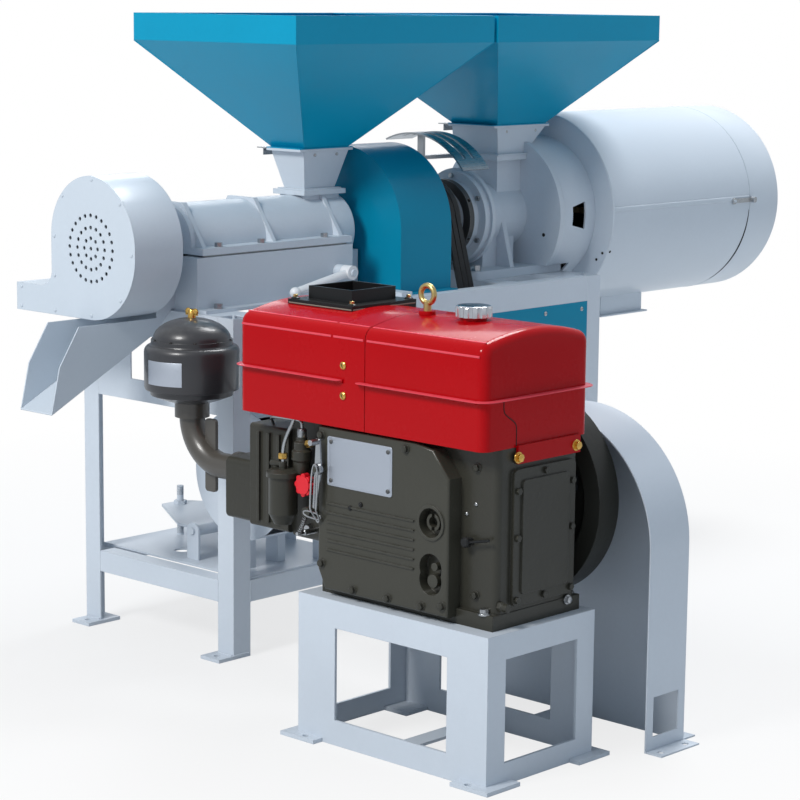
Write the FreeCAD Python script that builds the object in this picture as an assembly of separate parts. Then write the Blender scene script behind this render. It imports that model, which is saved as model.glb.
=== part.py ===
import FreeCAD, Part
import math
import os

# Combined maize peeling and milling machine with its water-cooled engine.
# Millimetres. The origin is on the floor at the middle of the four frame feet.
# +X runs along the machine shafts from the fan to the sieve drum, +Z is up,
# and the engine stands on the -Y side.

V = FreeCAD.Vector

# Frame of angle iron
FRAME_HALF_X = 650.0
FRAME_HALF_Y = 260.0
FRAME_TOP = 780.0
LEG_WIDTH = 52.0
ANGLE_THICK = 5.0
TOP_RAIL_HEIGHT = 64.0
RAIL_FLANGE = 45.0
LOW_RAIL_TOP = 177.0
LOW_RAIL_HEIGHT = 50.0
FOOT_THICK = 8.0
FOOT_REACH = 45.0
FOOT_WIDTH = 62.0
FOOT_HOLE_R = 7.0
CARRIER_WIDTH = 60.0
CARRIER_DEPTH = 35.0
SHELF_THICK = 5.0
SHELF_END_X = -240.0
SHELF_HOLE_R = 20.0
END_PANEL_LOW = 557.0
END_PANEL_THICK = 3.0
END_WINDOW_Y0 = -60.0
END_WINDOW_Y1 = 90.0
END_WINDOW_MARGIN = 50.0
FRONT_PANEL_LEFT = -240.0
FRONT_PANEL_LOW = 280.0
FRONT_PANEL_THICK = 2.0

# Shafts and the clearances that let them turn
SHAFT_Z = FRAME_TOP + 150.0
RUN_GAP = 0.05
FREE_GAP = 0.3
PEELER_SHAFT_R = 25.0
MILL_SHAFT_R = 20.0
COUNTER_SHAFT_R = 17.5
COUNTER_Y = -170.0
COUNTER_Z = 400.0
CRANK_Y = -1055.0
CRANK_R = 25.0

# Belt drive
BELT_PITCH = 19.0
BELT_COUNT = 3
BELT_TOP = 16.0
BELT_BOTTOM = 10.0
BELT_HEIGHT = 10.0
BELT_PROUD = 1.5
BELT_SIDE_GAP = 0.4
GROOVE_DEPTH = 13.0
PULLEY_EDGE = 5.5
ENGINE_BELT_X = -FRAME_HALF_X + 170.0
MILL_BELT_X = FRAME_HALF_X - 400.0
ENGINE_PULLEY_R = 75.0
COUNTER_IN_R = 120.0
PEELER_DRIVE_R = 70.0
PEELER_PULLEY_R = 150.0
MILL_DRIVE_R = 80.0
MILL_PULLEY_R = 100.0
PULLEY_RIM = 12.0
PULLEY_WEB = 14.0
PULLEY_HUB_WALL = 18.0

# Countershaft posts and bearing blocks
LEFT_POST_X = ENGINE_BELT_X + 150.0
RIGHT_POST_X = MILL_BELT_X + 80.0
POST_WIDTH = 50.0
POST_DEPTH = 40.0
POST_WALL = 4.0
BLOCK_WIDTH = 40.0
BLOCK_HEIGHT = 150.0
BLOCK_BASE = 14.0
BLOCK_R = 34.0

# Tension plate with its threaded rod
PLATE_HINGE_Y = -30.0
PLATE_HINGE_Z = 250.0
PLATE_HINGE_R = 14.0
PLATE_PIN_R = 8.0
PLATE_X0 = -FRAME_HALF_X + 90.0
PLATE_X1 = -255.0
PLATE_THICK = 6.0
ROD_X = -410.0
ROD_Y = 190.0
ROD_R = 8.0
ROD_TOP = 305.0
ROD_NUT_R = 14.0
ROD_NUT_HEIGHT = 9.0
ROD_NUT_PLAY = 1.4
LUG_THICK = 6.0

# Peeler casing, barrel and roller
CASE_X0 = -FRAME_HALF_X + 10.0
CASE_X1 = -140.0
CASE_HALF_Y = 130.0
CASE_TOP = SHAFT_Z - 26.0
CASE_WALL = 5.0
CASE_LEDGE = 10.0
CASE_FOOT = 30.0
CASE_FOOT_THICK = 8.0
OUTLET_HALF_Y = 52.0
OUTLET_TOP = FRAME_TOP + 70.0
SCREEN_WALL = 3.0
SCREEN_FLANGE = 4.0
SCREEN_SLOT_COLS = 12
SCREEN_SLOT_WIDTH = 5.0
BARREL_X0 = CASE_X0 + 20.0
BARREL_X1 = CASE_X1 + 50.0
BARREL_R = 88.0
BARREL_WALL = 18.0
BARREL_BORE_R = BARREL_R - BARREL_WALL
SCREEN_R = BARREL_BORE_R - 4.0
BARREL_END = 12.0
BARREL_FLANGE_HALF_Y = CASE_HALF_Y - 2.0
BARREL_FLANGE_THICK = 16.0
BARREL_RIB = 12.0
BARREL_RIB_COUNT = 3
THROAT_X1 = BARREL_X1 - 18.0
THROAT_X0 = THROAT_X1 - 100.0
THROAT_HALF_Y = 34.0
THROAT_TOP = SHAFT_Z + 100.0
THROAT_WALL = 8.0
THROAT_RIM = 12.0
ROLLER_X0 = BARREL_X0 + 20.0
ROLLER_X1 = THROAT_X0 - 17.0
ROLLER_R = 46.0
ROLLER_BAR = 8.0
ROLLER_BAR_COUNT = 6
SCREW_X1 = THROAT_X1
SCREW_R = SCREEN_R - 4.0
SCREW_SLEEVE = 9.0
SCREW_PITCH = 48.0
SCREW_THICK = 7.0
BEARING_BODY_R = PEELER_SHAFT_R + 20.0
BEARING_FLANGE_R = PEELER_SHAFT_R + 37.0
BEARING_FLANGE_THICK = 9.0
RIGHT_BEARING_X1 = BARREL_X1 + 42.0
PEDESTAL_HALF_Y = 62.0
PEDESTAL_FOOT_THICK = 12.0

# Hoppers and their necks
HOPPER_SHEET = 2.5
HOPPER_TOP = SHAFT_Z + 516.0
HOPPER_GAP = 9.0
HOPPER_LIP = 64.0
HOPPER_HEM = 12.0
PEELER_MOUTH_X = (THROAT_X0 - 24.0, THROAT_X1 + 26.0)
PEELER_HOPPER_X = (PEELER_MOUTH_X[0] - 242.0, PEELER_MOUTH_X[1] + 279.0)
PEELER_HOPPER_HALF_Y = 276.0
PEELER_MOUTH_HALF_Y = 56.0
PEELER_MOUTH_Z = SHAFT_Z + 201.0
MILL_MOUTH_X = (MILL_BELT_X + 191.0, MILL_BELT_X + 381.0)
MILL_HOPPER_X = (PEELER_HOPPER_X[1] + HOPPER_GAP, MILL_MOUTH_X[1] + 216.0)
MILL_HOPPER_HALF_Y = 280.0
MILL_MOUTH_HALF_Y = 78.0
MILL_MOUTH_Z = SHAFT_Z + 236.0
NECK_SHEET = 3.0
GATE_THICK = 2.4
GATE_SLOT = 3.0
GATE_FLANGE = 14.0
GATE_HANDLE = 46.0

# Fan on the left end of the peeler shaft
FAN_X1 = -FRAME_HALF_X - 50.0
FAN_X0 = FAN_X1 - 137.0
FAN_SHEET = 3.0
FAN_TOP = SHAFT_Z + 162.0
FAN_LEFT_Y = 139.0
FAN_RIGHT_Y = -150.0
FAN_BOTTOM = SHAFT_Z - 160.0
FAN_OUTLET_Y = 267.0
FAN_OUTLET_TOP = FAN_BOTTOM + 63.0
FAN_NECK_R = 38.0
IMPELLER_R = 118.0
IMPELLER_BLADES = 8
IMPELLER_WIDTH = 96.0
GRILLE_HOLE_R = 4.5
GRILLE_RADII = (23.0, 47.0, 74.0)
GRILLE_COUNTS = (8, 16, 24)

# Discharge chute
CHUTE_HALF_Y = 55.0
CHUTE_SHEET = 3.0
CHUTE_MOUTH_X = FAN_X1 - 300.0
CHUTE_MOUTH_Z = FRAME_TOP - 201.0
CHUTE_KNEE_X = FAN_X1
CHUTE_KNEE_Z = FRAME_TOP - 47.0
CHUTE_WALL_TOP = FAN_BOTTOM - FAN_SHEET
CHUTE_LIP = (24.0, 103.0)
CHUTE_BROW = 79.0

# Arched pulley guard on the frame
GUARD_X0 = RIGHT_BEARING_X1 + 3.0
GUARD_X1 = GUARD_X0 + 180.0
GUARD_R = 200.0
GUARD_SHEET = 2.5
GUARD_FOOT = 24.0
GUARD_SLOT = 64.0
PEELER_BELT_X = (GUARD_X0 + GUARD_X1) / 2

# Mill
MILL_BODY_X0 = MILL_BELT_X + 125.0
MILL_FLANGE_X0 = MILL_BODY_X0 + 175.0
MILL_FLANGE_X1 = MILL_FLANGE_X0 + 18.0
MILL_BODY_R = 90.0
MILL_BORE_R = 50.0
MILL_FLANGE_R = 204.0
MILL_LEFT_FLANGE_R = 125.0
MILL_LEFT_FLANGE_THICK = 13.0
MILL_THROAT_X0 = MILL_FLANGE_X0 - 92.0
MILL_THROAT_HALF_Y = 65.0
MILL_THROAT_WALL = 12.0
MILL_PLATE_Z = SHAFT_Z + 144.0
MILL_PLATE_THICK = 14.0
MILL_PLATE_RIM = 6.0
MILL_FOOT_X0 = MILL_BODY_X0 - 75.0
MILL_FOOT_HALF_Y = 135.0
MILL_FOOT_THICK = 22.0
MILL_PEDESTAL_X = (MILL_BODY_X0 + 23.0, MILL_BODY_X0 + 145.0)
MILL_PEDESTAL_HALF_Y = 72.0
GRIND_RING_R = 100.0
GRIND_X1 = MILL_FLANGE_X1 + 72.0
CONE_LARGE_R = 86.0
CONE_SMALL_R = 56.0
CONE_GAP = 1.5
MILL_CAP_STEPS = ((0.0, 20.0, 118.0), (20.0, 40.0, 96.0), (40.0, 57.0, 75.0), (57.0, 72.0, 46.0))
ADJUST_RING_R = 99.0
ADJUST_HOLES = 6
BELT_COVER_X = (MILL_BELT_X - 47.0, MILL_BELT_X + 51.0)
BELT_COVER_R = 222.0
BELT_COVER_SHEET = 4.0
BELT_COVER_BACK = 24.0
BELT_COVER_FRONT = 52.0
BELT_COVER_ARM_Y = (40.0, 60.0)

# Vent ring, sieve drum and door
VENT_R = MILL_FLANGE_R - 6.0
VENT_WALL = 5.0
VENT_WINDOWS = 8
VENT_COLLAR = 22.0
DRUM_X0 = FRAME_HALF_X + 50.0
DOOR_X0 = DRUM_X0 + 612.0
DRUM_X1 = DOOR_X0 + 143.0
DRUM_R = 257.0
DRUM_WALL = 2.5
DRUM_FRONT = 6.0
DOOR_GAP = 0.5
SIEVE_R = 214.0
SIEVE_WALL = 2.0
SIEVE_X1 = DRUM_X1 - 30.0
SIEVE_BAND = 30.0
BRUSH_R = SIEVE_R - SIEVE_WALL - 12.0
BRUSH_BARS = 4
SPOUT_X = (DRUM_X0 + 180.0, DRUM_X0 + 360.0)
SPOUT_HALF_Y = 80.0
SPOUT_LOW = SHAFT_Z - 298.0
SPOUT_RIM = 12.0
DOOR_HINGE_Y = DRUM_R + 13.0
DOOR_HINGE_R = 8.0
DOOR_PIN_R = 4.0
LATCH_X0 = DOOR_X0 - 82.0
LATCH_X1 = DOOR_X0 + 6.0
LATCH_Z = SHAFT_Z + 10.0
LATCH_PIN_R = 4.0

# Engine stand
CASE_IN_X = -FRAME_HALF_X
CASE_OUT_X = CASE_IN_X - 238.0
CRANKCASE_Y = (CRANK_Y - 195.0, CRANK_Y + 255.0)
STAND_X = (CASE_OUT_X - 51.0, CASE_IN_X + 30.0)
STAND_Y = (CRANKCASE_Y[0] - 26.0, CRANKCASE_Y[1] + 35.0)
STAND_TOP = 300.0
CRANK_Z = STAND_TOP + 200.0
STAND_SHEET = 6.0
STAND_LEG_Y = 104.0
STAND_LEG_X = 52.0
STAND_WINDOW_LOW = 52.0
STAND_WINDOW_TOP = 243.0
STAND_FOOT = 26.0
STAND_FOOT_INSIDE = 70.0
STAND_FOOT_THICK = 8.0
STAND_HOLE_INSIDE = 35.0

# Engine
ENGINE_BASE = 30.0
CRANKCASE_TOP = STAND_TOP + 350.0
GEAR_COVER_THICK = 37.0
GEAR_COVER_Y = (CRANK_Y - 102.0, CRANK_Y + 250.0)
GEAR_COVER_Z = (STAND_TOP + 14.0, CRANKCASE_TOP - 5.0)
GEAR_CORNER = 60.0
START_BORE_Y = CRANK_Y - 58.0
START_BORE_Z = CRANK_Z - 5.0
START_BORE_R = 29.0
FILLER_Z = CRANK_Z - 111.0
COVER_RIBS = 6
COVER_RIB_LOW = CRANK_Z - 105.0
COVER_RIB_PITCH = 19.0
COVER_RIB_HEIGHT = 3.0
END_COVER_X = (CASE_OUT_X + 38.0, CASE_IN_X - 17.0)
END_COVER_Z = (CRANK_Z - 159.0, CRANK_Z + 108.0)
END_COVER_THICK = 12.0
BLOCK_X = (CASE_OUT_X + 28.0, CASE_IN_X - 22.0)
BLOCK_END_Y = CRANKCASE_Y[1] + 135.0
BLOCK_LOW = CRANK_Z - 115.0
HEAD_END_Y = BLOCK_END_Y + 115.0
HEAD_X = (CASE_OUT_X + 16.0, CASE_IN_X - 14.0)
HEAD_Z = (CRANK_Z - 105.0, CRANK_Z + 112.0)
HEAD_FIN = 6.0
PORT_X = (CASE_OUT_X + 38.0, CASE_OUT_X + 136.0)
PORT_END_Y = HEAD_END_Y + 98.0
PORT_Z = (CRANK_Z - 108.0, CRANK_Z + 24.0)
TANK_X = (CASE_OUT_X - 43.0, CASE_IN_X + 30.0)
WATER_TANK_Y = (CRANK_Y + 117.0, CRANK_Y + 477.0)
TANK_JOINT = 1.5
FUEL_TANK_Y = (CRANK_Y - 201.0, WATER_TANK_Y[0] - TANK_JOINT)
TANK_SHOULDER = CRANKCASE_TOP + 200.0
TANK_CROWN = TANK_SHOULDER + 24.0
TANK_SHOULDER_R = 26.0
TANK_CORNER = 20.0
BEAD_Z = CRANKCASE_TOP + 94.0
BEAD_R = 4.0
WATER_FRAME_X = (TANK_X[0] + 113.0, TANK_X[0] + 241.0)
WATER_FRAME_Y = (WATER_TANK_Y[1] - 214.0, WATER_TANK_Y[1] - 90.0)
WATER_FRAME_TOP = TANK_CROWN + 32.0
WATER_FRAME_WALL = 5.0
WATER_FRAME_FLANGE = 30.0
EYE_X = TANK_X[0] + 141.0
EYE_Y = FUEL_TANK_Y[1] - 33.5
EYE_R = 23.0
EYE_HOLE_R = 12.0
EYE_TOP = TANK_CROWN + 62.0
CAP_X = TANK_X[0] + 146.0
CAP_Y = FUEL_TANK_Y[1] - 151.5
CAP_R = 36.0
CAP_HEIGHT = 22.0
FILLER_RISE = 6.0
FLYWHEEL_X = (ENGINE_BELT_X - 120.0, ENGINE_BELT_X - 60.0)
FLYWHEEL_R = 212.0
FLYWHEEL_RIM = 40.0
FLYWHEEL_WEB = 18.0
FLYWHEEL_HUB_R = 55.0

# Air cleaner and intake
FILTER_X = CASE_OUT_X + 88.0
FILTER_Y = PORT_END_Y + 162.0
FILTER_R = 104.0
FILTER_LOW = CRANK_Z + 133.0
FILTER_TOP = FILTER_LOW + 112.0
FILTER_FLOOR_R = 45.0
FILTER_FLOOR_DROP = 16.0
LID_R = 89.0
LID_RING = 9.0
DOME_TOP = FILTER_TOP + 56.0
INTAKE_Z = CRANK_Z - 12.0
INTAKE_R = 28.0
INTAKE_WALL = 3.0
INTAKE_BEND = 100.0
INTAKE_NECK_R = 38.0
INTAKE_NECK = 33.0
INTAKE_CLAMP = 9.0

# Fuel filter, speed lever and knob on the engine side
FUEL_FILTER_Y = BLOCK_END_Y - 25.0
FUEL_FILTER_R = 33.0
FUEL_FILTER_Z = (CRANK_Z - 75.0, CRANK_Z + 40.0)
KNOB_Y = CRANKCASE_Y[1] + 50.0
KNOB_Z = CRANK_Z + 14.0
KNOB_R = 24.0
KNOB_STEM = 40.0
KNOB_THICK = 16.0
KNOB_PIN_R = 6.0
KNOB_BOSS = 26.0
KNOB_BOSS_DEPTH = 19.0
LEVER_Y = CRANKCASE_Y[1] - 18.0
LEVER_Z = CRANK_Z + 60.0
LEVER_PIN_R = 5.0
LEVER_SHOULDER = 10.0
LEVER_THICK = 4.0

# Flywheel side guards
BELT_GUARD_X = (ENGINE_BELT_X - 57.0, ENGINE_BELT_X + 69.0)
BELT_GUARD_Y = CRANK_Y - 35.0
BELT_GUARD_Z = CRANK_Z - 88.0
BELT_GUARD_R = 258.0
BELT_GUARD_SHEET = 3.0
BELT_GUARD_WINDOW_Z = (30.0, 112.0)
GUARD_TIE_WIDTH = 40.0
GUARD_TIE_Z = 20.0
LOW_GUARD_X = (ENGINE_BELT_X - 65.0, ENGINE_BELT_X + 65.0)
LOW_GUARD_R = 152.0
LOW_GUARD_SHEET = 2.5

# Discharge pressure lever
PRESS_PIVOT_X = CASE_X1 - 50.0
PRESS_PIVOT_Z = CASE_TOP - 62.0
PRESS_END_X = PRESS_PIVOT_X - 178.0
PRESS_END_Z = PRESS_PIVOT_Z - 34.0
PRESS_STAND_OFF = 40.0
PRESS_TUBE_R = 10.0
PRESS_HUB_R = 17.0
PRESS_PIN_R = 8.0
PRESS_TIP_R = PRESS_TUBE_R + 3.0

# Bolt heads: width across flats and height
FOOT_BOLT = (18.0, 11.0)
MILL_BOLT = (22.0, 14.0)
COVER_BOLT = (12.0, 6.0)
CAP_BOLT = (12.0, 7.0)
CAP_BOLT_COUNT = 6
BARREL_BOLT = (16.0, 10.0)


def box(x0, x1, y0, y1, z0, z1):
    return Part.makeBox(x1 - x0, y1 - y0, z1 - z0, V(x0, y0, z0))


def rod(radius, start, end):
    span = end - start
    return Part.makeCylinder(radius, span.Length, start, span)


def xcyl(radius, x0, x1, y=0.0, z=SHAFT_Z):
    return rod(radius, V(x0, y, z), V(x1, y, z))


def xtube(outer, inner, x0, x1, y=0.0, z=SHAFT_Z):
    return xcyl(outer, x0, x1, y, z).cut(xcyl(inner, x0 - 1, x1 + 1, y, z))


def zcyl(radius, x, y, z0, z1):
    return rod(radius, V(x, y, z0), V(x, y, z1))


def fuse(shapes):
    whole = shapes[0]
    if len(shapes) > 1:
        whole = whole.multiFuse(shapes[1:])
    return whole.removeSplitter()


def cut(shape, tools):
    return shape.cut(Part.makeCompound(tools)) if tools else shape


def wire_yz(points, x):
    return Part.makePolygon([V(x, y, z) for y, z in points] + [V(x, points[0][0], points[0][1])])


def prism_x(points, x0, x1):
    """A prism along X over an outline of (y, z) points."""
    return Part.Face(wire_yz(points, x0)).extrude(V(x1 - x0, 0, 0))


def prism_y(points, y0, y1):
    """A prism along Y over an outline of (x, z) points."""
    corners = [V(x, y0, z) for x, z in points]
    face = Part.Face(Part.makePolygon(corners + corners[:1]))
    return face.extrude(V(0, y1 - y0, 0))


def prism_z(points, z0, z1):
    """A prism along Z over an outline of (x, y) points."""
    corners = [V(x, y, z0) for x, y in points]
    face = Part.Face(Part.makePolygon(corners + corners[:1]))
    return face.extrude(V(0, 0, z1 - z0))


def turned_x(profile, y, z):
    """A body turned about a line along X from (x, radius) points."""
    corners = [V(x, y, z + r) for x, r in profile]
    face = Part.Face(Part.makePolygon(corners + corners[:1]))
    return face.revolve(V(0, y, z), V(1, 0, 0), 360)


def turned_z(profile, x, y):
    """A body turned about a line along Z from (radius, z) points."""
    corners = [V(x + r, y, z) for r, z in profile]
    face = Part.Face(Part.makePolygon(corners + corners[:1]))
    return face.revolve(V(x, y, 0), V(0, 0, 1), 360)


def frustum(x_low, y_low, z_low, x_high, y_high, z_high):
    """A straight loft from one rectangle up to another."""
    rings = []
    for (x0, x1), (y0, y1), z in ((x_low, y_low, z_low), (x_high, y_high, z_high)):
        corners = [V(x0, y0, z), V(x1, y0, z), V(x1, y1, z), V(x0, y1, z)]
        rings.append(Part.makePolygon(corners + corners[:1]))
    return Part.makeLoft(rings, True, True)


def vertical_fillet(shape, radius):
    edges = [e for e in shape.Edges if is_along(e, V(0, 0, 1))]
    return shape.makeFillet(radius, edges)


def is_along(edge, direction):
    if edge.Curve.TypeId != "Part::GeomLine":
        return False
    run = edge.Vertexes[-1].Point - edge.Vertexes[0].Point
    return abs(run.normalize().dot(direction)) > 0.999


def ring_points(count, radius, start=0.0):
    steps = [start + 2 * math.pi * i / count for i in range(count)]
    return [(radius * math.cos(a), radius * math.sin(a)) for a in steps]


def turned_copies(shape, count, y=0.0, z=SHAFT_Z):
    """Copies of a shape spaced evenly round a line along X."""
    copies = []
    for index in range(count):
        copy = shape.copy()
        copy.rotate(V(0, y, z), V(1, 0, 0), 360.0 * index / count)
        copies.append(copy)
    return copies


def pulley_width():
    return (BELT_COUNT - 1) * BELT_PITCH + BELT_TOP + 2 * PULLEY_EDGE


def grooved_pulley(radius, bore, x_mid, y, z):
    """A belt pulley with one groove per belt, a web and a hub."""
    half = pulley_width() / 2
    inner = radius - GROOVE_DEPTH - PULLEY_RIM
    hub = bore + PULLEY_HUB_WALL
    body = xtube(radius, bore, x_mid - half, x_mid + half, y, z)
    if inner > hub + 6:
        side = half - PULLEY_WEB / 2
        hollow = xtube(inner, hub, x_mid - half, x_mid - half + side, y, z)
        hollow_far = xtube(inner, hub, x_mid + half - side, x_mid + half, y, z)
        body = cut(body, [hollow, hollow_far])
    if inner > hub + 40:
        hole_r = (inner - hub) * 0.32
        hole = xcyl(hole_r, x_mid - half, x_mid + half, y, z + (inner + hub) / 2)
        body = cut(body, turned_copies(hole, 5, y, z))
    grooves = []
    slope = (BELT_TOP - BELT_BOTTOM) / 2 / BELT_HEIGHT
    rim_half = BELT_TOP / 2 - BELT_PROUD * slope + BELT_SIDE_GAP
    for index in range(BELT_COUNT):
        mid = belt_x(x_mid, index)
        low = rim_half - GROOVE_DEPTH * slope
        high = rim_half + slope
        floor = radius - GROOVE_DEPTH
        profile = [(mid - low, floor), (mid - high, radius + 1), (mid + high, radius + 1), (mid + low, floor)]
        grooves.append(turned_x(profile, y, z))
    return cut(body, grooves)


def belt_x(x_mid, index):
    return x_mid + (index - (BELT_COUNT - 1) / 2) * BELT_PITCH


def belt_loop(x, y_a, z_a, r_a, y_b, z_b, r_b):
    """One belt round two pulleys: two wraps turned and two straight runs extruded."""
    span = math.hypot(y_b - y_a, z_b - z_a)
    heading = math.atan2(z_b - z_a, y_b - y_a)
    tilt = math.asin((r_a - r_b) / span)
    straight = math.sqrt(span ** 2 - (r_a - r_b) ** 2)

    def section(y, z, radius, angle):
        outer = radius + BELT_PROUD
        inner = outer - BELT_HEIGHT
        corners = []
        for half, r in ((BELT_TOP / 2, outer), (-BELT_TOP / 2, outer), (-BELT_BOTTOM / 2, inner),
                        (BELT_BOTTOM / 2, inner)):
            corners.append(V(x + half, y + r * math.cos(angle), z + r * math.sin(angle)))
        return Part.Face(Part.makePolygon(corners + corners[:1]))

    leave = heading + math.pi / 2 - tilt
    back = heading - math.pi / 2 + tilt
    pieces = []
    for side, angle in ((1, leave), (-1, back)):
        run = V(0, math.sin(angle) * side, -math.cos(angle) * side) * straight
        pieces.append(section(y_a, z_a, r_a, angle).extrude(run))
    wrap_a = 360 - math.degrees(leave - back)
    wrap_b = math.degrees(leave - back)
    pieces.append(section(y_a, z_a, r_a, leave).revolve(V(0, y_a, z_a), V(1, 0, 0), wrap_a))
    pieces.append(section(y_b, z_b, r_b, back).revolve(V(0, y_b, z_b), V(1, 0, 0), wrap_b))
    return fuse(pieces)


def hex_head(point, direction, across, height):
    """A hexagon bolt head or nut standing on a surface."""
    axis = V(direction).normalize()
    side = axis.cross(V(0, 0, 1) if abs(axis.z) < 0.9 else V(1, 0, 0)).normalize()
    other = axis.cross(side)
    corners = [point + side * a + other * b for a, b in ring_points(6, across / math.sqrt(3))]
    return Part.Face(Part.makePolygon(corners + corners[:1])).extrude(axis * height)


def screw_flight(x0, x1, core, radius, pitch, thick):
    """A helical flight wound on a shaft along X."""
    turns = (x1 - x0 - thick) / pitch
    height = turns * pitch
    helix = Part.makeHelix(pitch, height, core)
    corners = [V(core - 1.5, 0, -thick / 2), V(radius, 0, -thick / 2), V(radius, 0, thick / 2),
               V(core - 1.5, 0, thick / 2)]
    flight = Part.Wire(helix).makePipeShell([Part.makePolygon(corners + corners[:1])], True, True)
    flight.rotate(V(0, 0, 0), V(0, 1, 0), 90)
    flight.translate(V(x0 + thick / 2, 0, SHAFT_Z))
    return flight


def frame_legs():
    legs = []
    for sx in (-1, 1):
        for sy in (-1, 1):
            xs = sorted((sx * FRAME_HALF_X, sx * (FRAME_HALF_X - LEG_WIDTH)))
            ys = sorted((sy * FRAME_HALF_Y, sy * (FRAME_HALF_Y - LEG_WIDTH)))
            x_plate = sorted((sx * FRAME_HALF_X, sx * (FRAME_HALF_X - ANGLE_THICK)))
            y_plate = sorted((sy * FRAME_HALF_Y, sy * (FRAME_HALF_Y - ANGLE_THICK)))
            side = box(*x_plate, *ys, 0, FRAME_TOP)
            front = box(*xs, *y_plate, 0, FRAME_TOP)
            foot_x = sorted((sx * (FRAME_HALF_X + FOOT_REACH), sx * (FRAME_HALF_X - LEG_WIDTH)))
            foot_y = sorted((sy * FRAME_HALF_Y, sy * (FRAME_HALF_Y - FOOT_WIDTH)))
            foot = box(*foot_x, *foot_y, 0, FOOT_THICK)
            hole_x = sx * (FRAME_HALF_X + FOOT_REACH / 2)
            hole_y = sy * (FRAME_HALF_Y - FOOT_WIDTH / 2)
            hole = zcyl(FOOT_HOLE_R, hole_x, hole_y, -1, FOOT_THICK + 1)
            legs.append(fuse([side, front, foot]).cut(hole))
    return legs


def long_rail(side, top, height):
    """Angle iron along X between two legs, its flange at the top."""
    end = FRAME_HALF_X - LEG_WIDTH
    web = sorted((side * FRAME_HALF_Y, side * (FRAME_HALF_Y - ANGLE_THICK)))
    flange = sorted((side * FRAME_HALF_Y, side * (FRAME_HALF_Y - RAIL_FLANGE)))
    plate = box(-end, end, *web, top - height, top)
    return fuse([plate, box(-end, end, *flange, top - ANGLE_THICK, top)])


def cross_rail(side, top, height):
    """Angle iron along Y between two legs, its flange at the top."""
    end = FRAME_HALF_Y - LEG_WIDTH
    web = sorted((side * FRAME_HALF_X, side * (FRAME_HALF_X - ANGLE_THICK)))
    flange = sorted((side * FRAME_HALF_X, side * (FRAME_HALF_X - RAIL_FLANGE)))
    plate = box(*web, -end, end, top - height, top)
    return fuse([plate, box(*flange, -end, end, top - ANGLE_THICK, top)])


def carrier(x_mid):
    """A channel across the frame that carries one end of a machine."""
    half = CARRIER_WIDTH / 2
    end = FRAME_HALF_Y - RAIL_FLANGE
    low = FRAME_TOP - CARRIER_DEPTH
    top = box(x_mid - half, x_mid + half, -end, end, FRAME_TOP - ANGLE_THICK, FRAME_TOP)
    left = box(x_mid - half, x_mid - half + ANGLE_THICK, -end, end, low, FRAME_TOP)
    right = box(x_mid + half - ANGLE_THICK, x_mid + half, -end, end, low, FRAME_TOP)
    return fuse([top, left, right])


def carrier_places():
    end = FRAME_HALF_X - RAIL_FLANGE - CARRIER_WIDTH / 2
    return (-end, CASE_X1 - CARRIER_WIDTH, MILL_FOOT_X0 + CARRIER_WIDTH / 2 + 8, end)


def post(x_mid, z0):
    half = POST_WIDTH / 2
    y0 = -FRAME_HALF_Y + ANGLE_THICK
    y1 = y0 + POST_DEPTH
    z1 = FRAME_TOP - ANGLE_THICK
    outer = box(x_mid - half, x_mid + half, y0, y1, z0, z1)
    inner = box(x_mid - half + POST_WALL, x_mid + half - POST_WALL, y0 + POST_WALL, y1 - POST_WALL,
                z0 - 1, z1 + 1)
    return outer.cut(inner)


def shelf():
    end = FRAME_HALF_Y - ANGLE_THICK
    x0 = -FRAME_HALF_X + LEG_WIDTH
    plate = box(x0, SHELF_END_X, -end, end, LOW_RAIL_TOP, LOW_RAIL_TOP + SHELF_THICK)
    hole = zcyl(SHELF_HOLE_R, x0 + 80, 60, LOW_RAIL_TOP - 1, LOW_RAIL_TOP + SHELF_THICK + 1)
    return plate.cut(hole)


def hinge_lug(x0):
    base = LOW_RAIL_TOP + SHELF_THICK
    y0 = PLATE_HINGE_Y - 20
    y1 = PLATE_HINGE_Y + 20
    plate = box(x0, x0 + LUG_THICK, y0, y1, base, PLATE_HINGE_Z)
    eye = xcyl(20, x0, x0 + LUG_THICK, PLATE_HINGE_Y, PLATE_HINGE_Z)
    pin_hole = xcyl(PLATE_PIN_R + RUN_GAP, x0 - 1, x0 + LUG_THICK + 1, PLATE_HINGE_Y, PLATE_HINGE_Z)
    return fuse([plate, eye]).cut(pin_hole)


def frame_rails():
    rails = []
    for side in (-1, 1):
        rails.append(long_rail(side, FRAME_TOP, TOP_RAIL_HEIGHT))
        rails.append(long_rail(side, LOW_RAIL_TOP, LOW_RAIL_HEIGHT))
        rails.append(cross_rail(side, FRAME_TOP, TOP_RAIL_HEIGHT))
        rails.append(cross_rail(side, LOW_RAIL_TOP, LOW_RAIL_HEIGHT))
    rails += [carrier(x) for x in carrier_places()]
    return rails + [post(LEFT_POST_X, LOW_RAIL_TOP + SHELF_THICK), post(RIGHT_POST_X, LOW_RAIL_TOP)]


def lower_shelf():
    lugs = [hinge_lug(PLATE_X0 - LUG_THICK - 1), hinge_lug(PLATE_X1 + 1)]
    screw = zcyl(ROD_R, ROD_X, ROD_Y, LOW_RAIL_TOP + SHELF_THICK, ROD_TOP)
    return [shelf()] + lugs + [screw]


def end_panel():
    end = FRAME_HALF_Y - LEG_WIDTH
    top = FRAME_TOP - TOP_RAIL_HEIGHT
    x0 = -FRAME_HALF_X
    sheet = box(x0, x0 + END_PANEL_THICK, -end, end, END_PANEL_LOW, top)
    window = box(x0 - 1, x0 + END_PANEL_THICK + 1, END_WINDOW_Y0, END_WINDOW_Y1,
                 END_PANEL_LOW + END_WINDOW_MARGIN, top - 4)
    return [sheet.cut(window)]


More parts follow.
